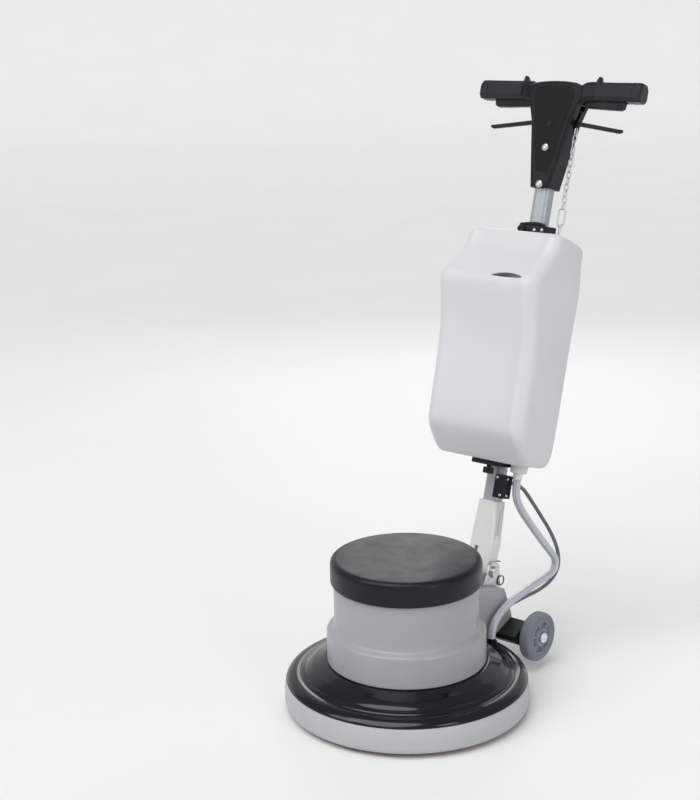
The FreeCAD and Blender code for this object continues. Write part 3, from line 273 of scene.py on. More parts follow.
def obj_from(name, verts, faces, mat, body, where=None, angle=38, uvs=None):
    """verts in mm, in the row frame or in the handle frame."""
    me = bpy.data.meshes.new(name)
    pts = [Vector(v) * MM for v in verts]
    if where is not None:
        pts = [where @ p for p in pts]
    me.from_pydata([tuple(p) for p in pts], [], faces)
    me.validate()
    for f in me.polygons:
        f.use_smooth = True
    me.set_sharp_from_angle(angle=math.radians(angle))
    if uvs:
        layer = me.uv_layers.new(name="UVMap")
        for f in me.polygons:
            for li, vi in zip(f.loop_indices, f.vertices):
                layer.data[li].uv = uvs[vi]
    me.materials.append(mat)
    ob = bpy.data.objects.new(name, me)
    scene.collection.objects.link(ob)
    if body:
        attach(ob, body)
    return ob


def rounded(points, r, closed=True, steps=5):
    """Corners of a polyline turned into small arcs."""
    out = []
    n = len(points)
    pts = [Vector(p) for p in points]
    for i in range(n):
        rr = r[i] if isinstance(r, (list, tuple)) else r
        if (not closed and i in (0, n - 1)) or rr <= 0:
            out.append(pts[i])
            continue
        a, b, c = pts[i - 1], pts[i], pts[(i + 1) % n]
        u, w = a - b, c - b
        t = min(rr, 0.45 * u.length, 0.45 * w.length)
        u.normalize(); w.normalize()
        p0, p1 = b + u * t, b + w * t
        for k in range(steps + 1):
            q = k / steps
            out.append(p0 * (1 - q) ** 2 + b * 2 * q * (1 - q) + p1 * q * q)
    return out


def lathe(name, profile, mat, body, segs=144, r=2.0, where=None, replaces=None, closed=True, angle=50):
    prof = rounded([(a, b, 0) for a, b in profile], r, closed)
    verts, faces = [], []
    n = len(prof)
    for k in range(segs):
        a = 2 * math.pi * k / segs
        for p in prof:
            verts.append((p.x * math.cos(a), p.x * math.sin(a), p.y))
    for k in range(segs):
        k2 = (k + 1) % segs
        for i in range(n if closed else n - 1):
            j = (i + 1) % n
            faces.append((k * n + i, k2 * n + i, k2 * n + j, k * n + j))
    ob = obj_from(name, verts, faces, mat, None, where, angle)
    fix_normals(ob)
    if body:
        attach(ob, body)
    if replaces:
        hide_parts(*replaces)
    return ob


def fix_normals(ob):
    import bmesh
    bm = bmesh.new()
    bm.from_mesh(ob.data)
    bmesh.ops.remove_doubles(bm, verts=bm.verts, dist=1e-7)
    bmesh.ops.recalc_face_normals(bm, faces=bm.faces)
    bm.to_mesh(ob.data)
    bm.free()


def tube(name, pts, r, mat, body=None, where=None, segs=16, closed=False, caps=True, uv=False):
    """A round tube through points in mm, with a frame carried along so that it doesn't twist."""
    P = [Vector(p) for p in pts]
    n = len(P)
    tang = []
    for i in range(n):
        a = P[i - 1] if (closed or i > 0) else P[i]
        b = P[(i + 1) % n] if (closed or i < n - 1) else P[i]
        tang.append((b - a).normalized())
    ref = Vector((1, 0, 0)) if abs(tang[0].x) < 0.9 else Vector((0, 1, 0))
    u = (ref - tang[0] * ref.dot(tang[0])).normalized()
    verts, faces, uvs = [], [], []
    run = 0.0
    for i in range(n):
        u = (u - tang[i] * u.dot(tang[i])).normalized()
        w = tang[i].cross(u)
        rr = r(i / (n - 1)) if callable(r) else r
        for k in range(segs):
            a = 2 * math.pi * k / segs
            verts.append(P[i] + (u * math.cos(a) + w * math.sin(a)) * rr)
            uvs.append((abs(((k / segs + 0.5) % 1.0) * 2 - 1), run))
        if i < n - 1:
            run += (P[i + 1] - P[i]).length * MM
    for i in range(n if closed else n - 1):
        i2 = (i + 1) % n
        for k in range(segs):
            k2 = (k + 1) % segs
            faces.append((i * segs + k, i * segs + k2, i2 * segs + k2, i2 * segs + k))
    if caps and not closed:
        faces.append(tuple(reversed(range(segs))))
        faces.append(tuple((n - 1) * segs + k for k in range(segs)))
    ob = obj_from(name, verts, faces, mat, None, where, 60, uvs if uv else None)
    if body:
        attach(ob, body)
    return ob


def prism(name, outline, axis, a0, a1, mat, body, where=None, bevel=1.0, segs=3, angle=38):
    """An outline in mm extruded along an axis, with a bevel modifier for its edges."""
    n = len(outline)

    def p3(q, a):
        return {"x": (a, q[0], q[1]), "y": (q[0], a, q[1]), "z": (q[0], q[1], a)}[axis]
    verts = [p3(q, a0) for q in outline] + [p3(q, a1) for q in outline]
    faces = [tuple(range(n)), tuple(reversed(range(n, 2 * n)))]
    for i in range(n):
        j = (i + 1) % n
        faces.append((i, i + n, j + n, j))
    ob = obj_from(name, verts, faces, mat, None, where, angle)
    fix_normals(ob)
    if bevel:
        bv = ob.modifiers.new("edge", "BEVEL")
        bv.width = bevel * MM
        bv.segments = segs
        bv.limit_method = "ANGLE"
        bv.angle_limit = math.radians(28)
        bv.harden_normals = False
    if body:
        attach(ob, body)
    return ob


def finish_cad(node, mat, bevel=0.0):
    """A CAD node keeps its mesh; it gets its material and, where a width is given, a weld and a fine edge bevel."""
    ob = NODES[node]
    ob.data.materials.clear()
    ob.data.materials.append(mat)
    if bevel:
        wl = ob.modifiers.new("weld", "WELD")
        wl.merge_threshold = 2e-6
        bv = ob.modifiers.new("edge", "BEVEL")
        bv.width = bevel * MM
        bv.segments = 2
        bv.limit_method = "ANGLE"
        bv.angle_limit = math.radians(35)
    return ob


# ------------------------------------------------------ hoses and cables first
def at_handle(x, y, z):
    p = PH @ Vector((x * MM, y * MM, z * MM))
    return (p.x / MM, p.y / MM, p.z / MM)


HOSE = [at_handle(54, -6, 195.9), at_handle(54.5, -6, 168), (57, 303, 337), (60, 322, 311), (62, 350, 278), (64, 384, 240), (65, 411, 212),
        (66, 430, 192), (66, 431.5, 174), (66, 419, 162), (66, 392, 159), (66, 350, 155.5), (66, 306, 151), (66, 264, 145.5), (66, 231, 135),
        (66, 207, 120), (66, 196.5, 104), (66, 195, 88)]
CABLE = [at_handle(36, -4.8, 186), at_handle(36, 14, 186), (37.5, 345, 363), (38.5, 371, 334), (39, 408, 291), (40, 449, 242), (40.5, 477, 198),
         (41, 487, 162), (41, 475, 137), (41, 445, 124), (41, 402, 119), (41, 356, 121), (39, 307, 119), (35, 268, 118), (28, 235, 119.5),
         (22, 205, 120.5), (20, 176.1, 120)]


def centreline(route):
    """Points of the smooth spline whose control points are the route's points."""
    cu = bpy.data.curves.new("route", "CURVE")
    cu.dimensions = "3D"
    sp = cu.splines.new("NURBS")
    sp.points.add(len(route) - 1)
    for q, p in zip(sp.points, route):
        q.co = (p[0] * MM, p[1] * MM, p[2] * MM, 1.0)
    sp.order_u = 3
    sp.use_endpoint_u = True
    sp.resolution_u = 14
    ob = bpy.data.objects.new("route", cu)
    scene.collection.objects.link(ob)
    bpy.context.view_layer.update()
    me = bpy.data.meshes.new_from_object(ob)
    pts = [v.co.copy() for v in me.vertices]
    bpy.data.objects.remove(ob)
    bpy.data.curves.remove(cu)
    bpy.data.meshes.remove(me)
    clean = [pts[0]]
    for p in pts[1:]:
        if (p - clean[-1]).length > 4e-4:
            clean.append(p)
    return clean


def make_cord(name, route, r, mat, node, uv=False):
    line = centreline(route)
    ob = tube(name, [p / MM for p in line], r, mat, None, None, 24, uv=uv)
    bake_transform(ob)
    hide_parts(node)
    return ob


make_cord("hose_water", HOSE, 8.0, M["hose"], "water_hose", uv=True)
make_cord("cable_motor", CABLE, 4.0, M["cable"], "motor_cable")

# ------------------------------------------------------------- the disc end
lathe("bumper", [(223.2, 10), (231, 10), (236.6, 11.5), (239.0, 16), (239.8, 22), (239.8, 40), (239.0, 48), (237.4, 55), (235.8, 60.4), (223.2, 60.4)],
      M["bumper"], "chassis", 192, 2.2, replaces=["bumper_ring"])
lathe("deck", [(235.4, 61.2), (235.9, 63.2), (233.6, 66.6), (230.5, 69.6), (226.5, 71.9), (221.5, 73.5), (216.5, 74.2), (211.5, 73.6), (208.4, 73.2), (206.6, 75.4), (203.0, 77.3),
               (199.0, 78.6), (193.8, 83.0), (184.5, 88.8), (174.0, 92.9), (166.0, 96.4), (160.0, 98.6), (40, 98.8), (40, 95.2), (150.5, 95.2), (159, 94.2), (172, 89.2), (187, 81.7), (199, 73.2),
               (208, 69.7), (217, 70.7), (219.2, 69), (219.2, 14), (222.8, 14), (222.8, 61.2)],
      M["deck"], "chassis", 192, 3.0, replaces=["deck_apron"], angle=60)
lathe("bumper_seam", [(235.2, 60.3), (236.4, 60.5), (236.6, 61.6), (235.4, 62.0)], M["moulded"], "chassis", 192, 0.3)
lathe("housing", [(10.6, 99.1), (154.3, 99.1), (155.3, 100.4), (155.5, 104), (155.5, 157), (154.6, 160.5), (151.2, 163.2), (145.4, 165.6), (142.2, 168.4), (141.0, 173.2), (140.6, 180),
                  (140.5, 257), (132, 257), (130, 251), (130, 200), (108, 200), (108, 128), (130, 126), (130, 114), (22, 114), (22, 102), (10.6, 102)],
      M["paint"], "chassis", 192, 2.0, replaces=["motor_housing"], angle=40)
lathe("housing_joint", [(154.6, 99.0), (156.4, 99.0), (156.4, 100.5), (155.2, 101.0)], M["moulded"], "chassis", 192, 0.2)
lathe("cover", [(0.01, 305.8), (60, 305.9), (120, 305.9), (135.5, 305.6), (139.6, 304.9), (143.0, 303.0), (145.6, 299.8), (146.8, 295.6), (147, 290), (147, 262), (146.5, 259), (145.0, 257.1), (133, 257.1), (133, 261),
                (143, 261), (143, 292), (139, 299), (134, 302), (0.01, 302)],
      M["cover"], "chassis", 192, 2.0, replaces=["motor_top_cover"], closed=False, angle=60)

# pad under the bumper
lathe("floor_pad_disc", [(0.01, 0), (209, 0), (213, 3), (213, 19.8), (0.01, 19.8)], M["pad"], "pad_drive", 160, 2.0, replaces=["floor_pad"])

# --------------------------------------------------------------- the wheels
for side, sg in (("right", 1), ("left", -1)):
    W = Matrix.Translation((sg * 0.097, 0.291, 0.072)) @ Matrix.Rotation(math.radians(90 * sg), 4, "Y")
    lathe("tyre_" + side, [(36.0, 2.0), (44.5, 2.0), (47.5, 3.4), (49.8, 6.2), (50.8, 9.5), (50.98, 15), (50.8, 21.5), (49.8, 25.4), (47.6, 28.3), (44.6, 29.8), (39.4, 29.8), (38.2, 28.8), (36.0, 28.8)],
          M["tyre"], "wheel_" + side, 96, 1.4, W, ["wheel_tyre_" + side])
    lathe("hub_" + side, [(7.05, 0), (16, 0), (16, 6), (32, 6), (36, 4), (36, 28.2), (32.2, 28.2), (30.2, 21.5), (21.5, 21.0), (18.5, 28.8), (14.0, 29.0), (12.8, 26.6), (10.2, 26.6), (9.4, 29.0), (7.05, 29.0)],
          M["hub"], "wheel_" + side, 96, 1.2, W, ["wheel_hub_" + side])
    for k in range(6):
        a = math.radians(60 * k + 12)
        c, s = math.cos(a), math.sin(a)

        def pt(r, t, z):
            return (r * c - t * s, r * s + t * c, z)
        v = [pt(20.5, -3.2, 20.5), pt(30.8, -2.4, 20.5), pt(30.8, 2.4, 20.5), pt(20.5, 3.2, 20.5),
             pt(20.5, -2.4, 27.2), pt(31.3, -1.7, 26.4), pt(31.3, 1.7, 26.4), pt(20.5, 2.4, 27.2)]
        rib = obj_from("hub_rib_%s_%d" % (side, k + 1), v, [(3, 2, 1, 0), (4, 5, 6, 7), (0, 1, 5, 4), (1, 2, 6, 5), (2, 3, 7, 6), (3, 0, 4, 7)], M["hub"], None, W)
        bv = rib.modifiers.new("edge", "BEVEL")
        bv.width = 0.0006
        bv.segments = 2
        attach(rib, "wheel_" + side)
    cap = lathe("axle_cap_" + side, [(0.01, 36.9), (6, 36.6), (9.4, 35.2), (10.8, 32.6), (10.9, 31.3), (0.01, 31.3)], M["nut"], "chassis", 48, 1.0, W, closed=False)
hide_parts("axle_caps")

# ---------------------------------------------------------- the solution tank
def tank_loop(s, w, nf, nr, r, gw=20.5, gd=16.5):
    """One level of the tank: a rounded rectangle with a groove behind for the tube. Points are (x, y, s), y = -n."""
    yf, yr = -nf, -nr
    loop = []

    def arc(cx, cy, rad, a0, a1, k=7):
        for i in range(k + 1):
            a = math.radians(a0 + (a1 - a0) * i / k)
            loop.append((cx + rad * math.cos(a), cy + rad * math.sin(a), s))
    r = min(r, w - gw - 6)
    rr = min(12.0, r)
    bulge = 1.6
    n_side = 8
    for i in range(n_side + 1):                      # front face, left to right, slightly crowned
        t = -1 + 2 * i / n_side
        loop.append(((w - r) * t, yf + bulge * t * t * 0.8, s))
    arc(w - r, yf + r, r, -90 + 6, 0)                # front right corner
    loop.append((w, (yf + yr) / 2, s))
    arc(w - rr, yr - rr, rr, 0, 90)                  # rear right corner
    loop.append((gw + 5, yr, s))
    loop.append((gw + 1.2, yr - 1.2, s))
    loop.append((gw, yr - 5, s))
    loop.append((gw, -gd + 4, s))
    loop.append((gw - 3, -gd, s))
    loop.append((0, -gd, s))
    loop.append((-gw + 3, -gd, s))
    loop.append((-gw, -gd + 4, s))
    loop.append((-gw, yr - 5, s))
    loop.append((-gw - 1.2, yr - 1.2, s))
    loop.append((-gw - 5, yr, s))
    arc(-w + rr, yr - rr, rr, 90, 180)
    loop.append((-w, (yf + yr) / 2, s))
    arc(-w + r, yf + r, r, 180, 270 - 6)
    return loop


levels = [  # s, half width, front, rear (both as n), corner radius
    (228.2, 98, 70, -1.0, 16), (228.8, 104, 73, -3.5, 17), (231.5, 109.5, 76.5, -6.5, 19), (237.0, 113.0, 81.5, -9.5, 21), (244.0, 115.0, 88.0, -11.5, 22), (252.0, 116.2, 95.4, -12.6, 23),
    (260.0, 117.0, 102.8, -13, 24), (270.0, 117.6, 111.6, -13, 25), (279.0, 117.8, 118.6, -13, 26), (287.0, 117.9, 123.4, -13, 27), (295.0, 118.0, 126.4, -13, 28), (304.0, 118.0, 128.0, -13, 29), (320.0, 118.0, 128.8, -13, 30), (350.0, 118.0, 130.0, -13, 30),
    (400.0, 118.0, 131.6, -13, 30), (440.0, 118.0, 134.4, -13, 30), (475.0, 118.0, 140.0, -13, 31), (505.0, 118.0, 146.8, -13, 32), (530.0, 118.0, 154.2, -13, 33), (550.0, 118.0, 160.6, -13, 34),
    (563.0, 118.0, 164.6, -13, 34), (573.0, 118.0, 167.0, -13, 34), (581.0, 117.9, 168.0, -13, 34), (587.0, 117.8, 167.2, -13, 34), (592.0, 117.4, 165.0, -13, 34), (597.0, 116.9, 161.6, -13, 34), (602.0, 116.4, 157.4, -13, 34),
    (609.0, 115.6, 151.0, -13, 33), (618.0, 114.6, 142.2, -13, 32), (628.0, 113.5, 131.6, -13, 31), (637.0, 112.6, 121.6, -13, 30), (646.0, 112.1, 112.4, -13, 29), (654.0, 112.0, 106.0, -12.9, 28),
    (662.0, 111.8, 101.6, -12.8, 27), (670.0, 111.5, 99.0, -12.5, 26), (677.0, 111.0, 97.2, -11.6, 25), (682.5, 110.0, 95.6, -10.0, 24), (687.0, 108.0, 93.0, -7.4, 22), (690.0, 104.6, 89.2, -3.6, 20), (691.6, 100.0, 84.4, 1.0, 18)]
verts, faces = [], []
for lv in levels:
    verts += tank_loop(*lv)
n = len(verts) // len(levels)
for i in range(len(levels) - 1):
    for k in range(n):
        k2 = (k + 1) % n
        faces.append((i * n + k, i * n + k2, (i + 1) * n + k2, (i + 1) * n + k))
faces.append(tuple(reversed(range(n))))
faces.append(tuple((len(levels) - 1) * n + k for k in range(n)))
# the top is lowered towards the rear, and the moulded wall waves very slightly
moved = []
for (x, y, s) in verts:
    if s > 655:                                       # the top falls away to the rear
        s -= 13.0 * max(0.0, (y + 88) / 100.0) ** 1.6 * min(1.0, (s - 655) / 36.0)
    y += 0.5 * math.sin(s / 31.0 + x / 47.0) * (1 if y < -30 else 0)
    x += 0.5 * math.sin(s / 43.0 + y / 39.0) * (1 if abs(x) > 60 else 0)
    moved.append((x, y, s))
tank = obj_from("tank", moved, faces, M["tank"], None, PH, 60)
fix_normals(tank)
# the fill mouth is a slot through the shoulder, cut out with its rim left soft
cutter = prism("tank_mouth_cutter", [(15, 591.6), (24, 590.8), (50, 590.4), (74, 591.2), (87, 593.4), (80, 596.6), (64, 599.6), (48, 600.4), (32, 598.6), (20, 595.0)], "y", -185, -135, M["tank"], None, PH, 0)
bo = tank.modifiers.new("mouth", "BOOLEAN")
bo.operation = "DIFFERENCE"
bo.object = cutter
bo.solver = "EXACT"
bpy.context.view_layer.update()
dg = bpy.context.evaluated_depsgraph_get()
baked = bpy.data.meshes.new_from_object(tank.evaluated_get(dg))
tank.modifiers.clear()
old = tank.data
tank.data = baked
bpy.data.objects.remove(cutter)
for f in baked.polygons:
    f.use_smooth = True
baked.set_sharp_from_angle(angle=math.radians(50))
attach(tank, "handle")
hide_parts("solution_tank")
boss = lathe("tank_outlet_boss", [(0.01, 229.5), (27, 229.5), (25, 227.2), (20.5, 225.4), (17, 223.2), (14.5, 221.0), (0.01, 221.0)], M["tank"], None, 48, 2.0, PH @ Matrix.Translation((0.054, -0.006, 0)), closed=False)
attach(boss, "handle")

# ------------------------------------------------------ chain, bail and rings
def stadium(cx, cy, z0, z1, half, turned, k=8):
    """Centreline of one chain link between heights z0 and z1."""
    pts = []
    zc0, zc1 = z0 + half, z1 - half
    for i in range(k + 1):
        a = math.pi * i / k
        pts.append((half * math.cos(a), zc1 + half * math.sin(a)))
    for i in range(k + 1):
        a = math.pi + math.pi * i / k
        pts.append((half * math.cos(a), zc0 + half * math.sin(a)))
    return [((cx + u) if not turned else cx, cy if not turned else (cy + u), z) for u, z in pts]


z = 750.6
k = 0
while z + 15.6 < 919.5:
    tube("chain_link_%d" % (k + 1), stadium(54 + 0.5 * math.sin(k * 1.7), -6 + 0.4 * math.cos(k * 2.3), z, z + 15.6, 3.9, k % 2 == 0), 1.4, M["zinc"], "valve_rod", PH, 8, closed=True)
    z += 15.6 - 3.1
    k += 1
bail = tube("valve_bail", rounded([(46.6, -6, 719), (61.4, -6, 719), (61.4, -6, 751.2), (46.6, -6, 751.2)], 4.0), 1.5, M["zinc"], "valve_rod", PH, 10, closed=True)
stem = tube("valve_stem", [(54, -6, z) for z in (234, 240, 300, 500, 700, 719)], 2.4, M["zinc"], "valve_rod", PH, 14)
ferrule = lathe("valve_ferrule", [(0.01, 714.2), (4.2, 714.2), (4.6, 716), (4.6, 720), (3.4, 722.4), (0.01, 722.4)], M["zinc"], None, 24, 0.6, PH @ Matrix.Translation((0.054, -0.006, 0)), closed=False)
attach(ferrule, "valve_rod")
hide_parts("valve_rod")


def ring_points(c, r, axis_a, axis_b, k=28, squash=1.0):
    return [tuple(Vector(c) + Vector(axis_a) * (r * math.cos(2 * math.pi * i / k)) + Vector(axis_b) * (r * squash * math.sin(2 * math.pi * i / k))) for i in range(k)]


# keeper ring across the top of the ears, and the pull ring behind the hinge pin
tube("keeper_ring", [(33.4 * math.cos(a), 13.5 + 3 * math.sin(a * 2), 21.4 + 1.6 * math.cos(a * 2)) for a in [math.pi * i / 20 for i in range(21)]], 1.3, M["dark_steel"], "chassis", PH, 10)
tube("pull_ring", ring_points((33.6, 28, -17), 9.5, (0.15, 0.98, 0), (0, 0, 1)), 1.35, M["dark_steel"], "chassis", PH, 10, closed=True)

nut = lathe("outlet_nut_body", [(0.01, 227.6), (15.4, 227.6), (16.6, 226.6), (17.0, 224.0), (17.0, 212.6), (16.2, 210.2), (13.4, 209.0), (10.2, 208.6), (9.5, 207.0), (9.5, 197.0), (8.9, 196.2), (0.01, 196.2)], M["nut"], None, 72, 0.8,
            PH @ Matrix.Translation((0.054, -0.006, 0)), closed=False, replaces=["outlet_nut"])
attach(nut, "handle")
for k in range(16):
    a = 2 * math.pi * k / 16
    rib = prism("nut_rib_%d" % (k + 1), [(54 + 17.6 * math.cos(a + d) if q else 54 + 15.8 * math.cos(a + d), -6 + 17.6 * math.sin(a + d) if q else -6 + 15.8 * math.sin(a + d)) for d, q in ((-0.06, 0), (-0.045, 1), (0.045, 1), (0.06, 0))], "z", 211.5, 226.2, M["nut"], "handle", PH, 0.4, 2)
# clip at the top of the tank: a hand knob, two screws and a latch tongue
for nm, prof, mat, at in (("clip_knob", [(0.01, 8), (6.6, 8), (8.0, 6.6), (8.4, 1.4), (7.0, 0), (0.01, 0)], "powder", (-24, -22, 703)), ("clip_screw_a", [(0.01, 2.2), (2.4, 2.0), (3.6, 0.8), (3.8, -1), (0.01, -1)], "zinc", (6, -24, 703)),
                          ("clip_screw_b", [(0.01, 2.2), (2.4, 2.0), (3.6, 0.8), (3.8, -1), (0.01, -1)], "zinc", (24, -24, 704))):
    o = lathe(nm, prof, M[mat], None, 28, 0.5, PH @ Matrix.Translation(Vector(at) * MM) @ Matrix.Rotation(math.radians(90), 4, "X"), closed=False)
    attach(o, "handle")
o = prism("clip_tongue", [(-34, 711.5), (-20, 712.5), (20, 712.5), (30, 711.5), (26, 717.5), (8, 719.5), (-12, 718.5), (-30, 716)], "y", -23, -17, M["powder"], "handle", PH, 1.5, 3)

# ---------------------------------------------------------------- control head
def mirror(points):
    return points + [(-x, y) for x, y in reversed(points) if x > 0.01]


panel_line = rounded([(x, y, 0) for x, y in mirror([(14.5, 822), (28.0, 880), (36.5, 925), (43.5, 955), (46.0, 968), (46.5, 985), (42.5, 995), (24, 998), (0.0, 998.6)])], 7.0)
panel = prism("head_panel", [(p.x, p.y) for p in panel_line], "y", -24.7, -22.0, M["panel"], None, PH, 0.5, 2)
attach(panel, "handle")
ridge_line = rounded([(x, y, 0) for x, y in mirror([(18.0, 800), (25.0, 845), (33.5, 885), (41.0, 925), (48.0, 950), (51.5, 965), (52.6, 978), (52.2, 993), (43, 999.5), (24, 1002.6), (0.0, 1003.2)])], 6.0)
tube("head_ridge", [(p.x, -23.9, p.y) for p in ridge_line], 1.0, M["cover"], "handle", PH, 8, closed=True)
dimple = lathe("head_dimple", [(0.01, 0.1), (4.4, 0.1), (5.3, 0.7), (6.0, 0.4), (6.2, -0.6), (0.01, -0.6)], M["moulded"], None, 32, 0.3,
               PH @ Matrix.Translation((0, -0.0249, 0.921)) @ Matrix.Rotation(math.radians(90), 4, "X"), closed=False)
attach(dimple, "handle")
first = None
for i, s in enumerate((797, 872)):
    T = PH @ Matrix.Translation((0, -0.0243, s * MM)) @ Matrix.Rotation(math.radians(90), 4, "X")
    b = lathe("head_bolt_cap_%d" % (i + 1), [(0.01, 2.6), (3.0, 2.6), (3.4, 4.6), (5.8, 3.9), (7.6, 2.4), (8.2, 0.4), (8.2, -0.2), (4.0, -0.2), (4.0, -13), (0.01, -13)], M["chrome"], None, 40, 0.7, T, closed=False)
    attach(b, "handle")
    first = first or b
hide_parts("head_bolts")
# fairings between the head and the grips, and a seam ring on each grip
for side, sg in (("right", 1), ("left", -1)):
    # the moulding flows from the head into the grip
    secs = []
    for x, low, high, hd in ((56.0, 960.5, 1004.5, 21.5), (60.0, 964.0, 1006.5, 20.8), (64.5, 967.0, 1008.6, 20.0), (70.0, 969.0, 1010.0, 19.4), (77.0, 970.0, 1010.4, 19.0), (86.0, 970.5, 1010.5, 18.7), (88.0, 971.2, 1010.0, 18.3)):
        secs.append([(sg * x, -hd, low + 8), (sg * x, -hd + 6, low), (sg * x, hd - 6, low), (sg * x, hd, low + 8), (sg * x, hd, high - 10), (sg * x, hd - 8, high), (sg * x, -hd + 8, high), (sg * x, -hd, high - 10)])
    fv = [v for sec in secs for v in sec]
    ff = [(i * 8 + k, i * 8 + (k + 1) % 8, (i + 1) * 8 + (k + 1) % 8, (i + 1) * 8 + k) for i in range(len(secs) - 1) for k in range(8) if k not in ()]
    ff += [tuple(range(8)), tuple((len(secs) - 1) * 8 + k for k in range(8))]
    fair = obj_from("grip_fairing_" + side, fv, ff, M["moulded"], None, PH, 42)
    fix_normals(fair)
    bv = fair.modifiers.new("edge", "BEVEL")
    bv.width = 0.002
    bv.segments = 3
    bv.limit_method = "ANGLE"
    bv.angle_limit = math.radians(25)
    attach(fair, "handle")
    for j, (x0, x1) in enumerate(((171.5, 173.0),)):
        collar = []
        oct_ = [(-18.5, 979), (-12.2, 970.6), (12.2, 970.6), (18.5, 979), (18.5, 1000.3), (10.3, 1010.4), (-10.3, 1010.4), (-18.5, 1000.3)]
        o = prism("grip_seam_%s" % side, oct_, "x", sg * x0, sg * x1, M["moulded"], None, PH, 0.4, 2)
        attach(o, "handle")

tab = prism("lever_root_tab", [(-49.5, 926.0), (-57.5, 935.2), (-55.0, 936.4), (-48.5, 931.0), (-46.0, 926.0)], "y", -2.4, 2.4, M["moulded"], "release_lever", PH, 0.8, 2)
for nm, y0, y1, s0, s1, x in (("socket_rail_a", -9.5, -6.5, 66, 138, 25.2), ("socket_rail_b", 6.0, 9.0, 66, 138, 25.2)):
    v = []
    for (s_, xo) in ((s0, 0.6), (s0 + 6, 0), (s1 - 6, -4.2), (s1, -4.6)):
        for (yy, dx) in ((y0, -2.2), (y0 + 0.6, 1.4), (y1 - 0.6, 1.4), (y1, -2.2)):
            v.append((x + xo + dx, yy, s_))
    fcs = [(i * 4 + k, i * 4 + (k + 1) % 4, (i + 1) * 4 + (k + 1) % 4, (i + 1) * 4 + k) for i in range(3) for k in range(4)] + [(0, 1, 2, 3), (15, 14, 13, 12)]
    rail = obj_from(nm, v, fcs, M["channel"], None, PH, 40)
    fix_normals(rail)
    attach(rail, "handle")

# ------------------------------------------------ small details on the box
for i, (y, s) in enumerate(((-20, 160.5), (-24, 194.5))):
    T = PH @ Matrix.Translation((0.0436, y * MM, s * MM)) @ Matrix.Rotation(math.radians(90), 4, "Y")
    o = lathe("box_screw_%d" % (i + 1), [(0.01, 0.5), (1.0, 0.5), (1.3, 1.3), (2.6, 0.9), (3.1, 0.0), (3.1, -1.0), (0.01, -1.0)], M["zinc"], None, 24, 0.3, T, closed=False)
    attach(o, "handle")
for i, (x, s) in enumerate(((37.0, 160.5), (25, 195.5))):
    T = PH @ Matrix.Translation((x * MM, -0.0350, s * MM)) @ Matrix.Rotation(math.radians(90), 4, "X")
    o = lathe("box_front_screw_%d" % (i + 1), [(0.01, 0.5), (1.0, 0.5), (1.3, 1.3), (2.6, 0.9), (3.1, 0.0), (3.1, -1.0), (0.01, -1.0)], M["zinc"], None, 24, 0.3, T, closed=False)
    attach(o, "handle")

# --------------------------------------------------- CAD nodes and their finish
FINISH = {
    "handle_yoke": ("paint", 1.2), "hinge_bracket": ("chrome", 0.6), "hinge_pin": ("chrome", 0.8), "wheel_bracket": ("powder", 0.8), "wheel_axle": ("zinc", 0),
    "end_bell": ("alloy", 0), "stator_core": ("lamination", 0), "stator_winding": ("copper", 0), "shaft_bearings": ("chrome", 0), "gearbox_casing": ("alloy", 0),
    "housing_bolts": ("zinc", 0), "ring_gear": ("gear", 0), "cable_gland": ("moulded", 0), "hose_barb": ("moulded", 0), "rotor_shaft": ("gear", 0),
    "rotor_core": ("lamination", 0), "cooling_fan": ("moulded", 0), "planet_carrier": ("gear", 0), "drive_flange": ("gear", 0), "pad_driver": ("board", 0),
    "planet_gear_1": ("nylon", 0), "planet_gear_2": ("nylon", 0), "planet_gear_3": ("nylon", 0), "handle_tube": ("tube", 0), "tube_socket": ("white", 0.8),
    "socket_bolts": ("zinc", 0.5), "head_front_shell": ("moulded", 0), "head_rear_shell": ("moulded", 0), "grip_right": ("grip", 1.5), "grip_left": ("grip", 1.5),
    "outlet_nut": ("nut", 0.8), "lower_bracket": ("powder", 0.8), "bracket_knob": ("powder", 0.6), "upper_clip": ("powder", 1.2), "capacitor_box": ("moulded", 0.8),
    "capacitor": ("zinc", 0), "trigger_switches": ("moulded", 0.5), "cord_inlet": ("moulded", 0), "trigger_right": ("moulded", 0.8), "trigger_left": ("moulded", 0.8),
    "thumb_button_right": ("moulded", 0.8), "thumb_button_left": ("moulded", 0.8), "release_lever": ("moulded", 0.8), "valve_lever": ("moulded", 0.8),
    "lock_rod": ("zinc", 0),
}
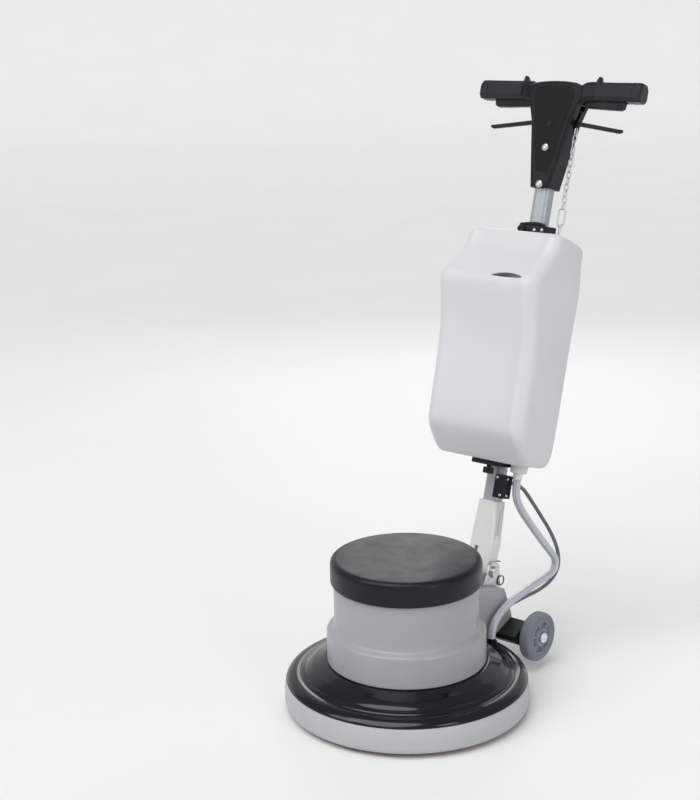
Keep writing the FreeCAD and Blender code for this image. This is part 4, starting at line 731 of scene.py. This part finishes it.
for node, (key, bevel) in FINISH.items():
    finish_cad(node, M[key], bevel)

# ------------------------------------------------------------ floor and light
me = bpy.data.meshes.new("floor")
sweep = [(-16.0, 0.0), (12.0, 0.0)] + [(12.0 + 8.0 * math.sin(t), 8.0 - 8.0 * math.cos(t)) for t in [math.pi / 2 * i / 16 for i in range(1, 17)]] + [(20.0, 20.0)]
vdir, vside = to_row(Vector((0, 1, 0))), to_row(Vector((1, 0, 0)))
fv = []
for d, h in sweep:
    for w in (-30, 30):
        q = vdir * d + vside * w
        fv.append((q.x, q.y, h))
me.from_pydata(fv, [], [(2 * i, 2 * i + 1, 2 * i + 3, 2 * i + 2) for i in range(len(sweep) - 1)])
for f in me.polygons:
    f.use_smooth = True
floor = bpy.data.objects.new("floor", me)
scene.collection.objects.link(floor)
me.materials.append(M["floor"])


def area(name, loc, target, size, power, colour=(1, 1, 1)):
    d = bpy.data.lights.new(name, "AREA")
    d.shape = "RECTANGLE"
    d.size, d.size_y = size
    d.energy = power
    d.color = colour
    o = bpy.data.objects.new(name, d)
    scene.collection.objects.link(o)
    o.location = loc
    o.rotation_euler = (Vector(target) - Vector(loc)).to_track_quat("-Z", "Y").to_euler()
    return o


area("key", (-1.6, -3.0, 2.6), (0, 0.1, 0.5), (1.6, 1.6), 22)
area("fill", (3.2, -0.8, 1.4), (0, 0.2, 0.5), (1.0, 2.2), 22)
area("rim", (-1.6, 2.6, 2.0), (0, 0.2, 0.6), (1.4, 1.8), 14)
sd = bpy.data.lights.new("sun", "SUN")
sd.energy = 1.75
sd.angle = math.radians(50)
sun = bpy.data.objects.new("sun", sd)
scene.collection.objects.link(sun)
sun.rotation_euler = (Vector((0, 0, 0)) - Vector((0.1, -1.1, 1.9))).to_track_quat("-Z", "Y").to_euler()
world = bpy.data.worlds.new("studio")
scene.world = world
world.use_nodes = True
bg = world.node_tree.nodes["Background"]
bg.inputs[0].default_value = (1.0, 1.0, 1.0, 1.0)
bg.inputs[1].default_value = 0.34
scene.view_settings.view_transform = "Standard"
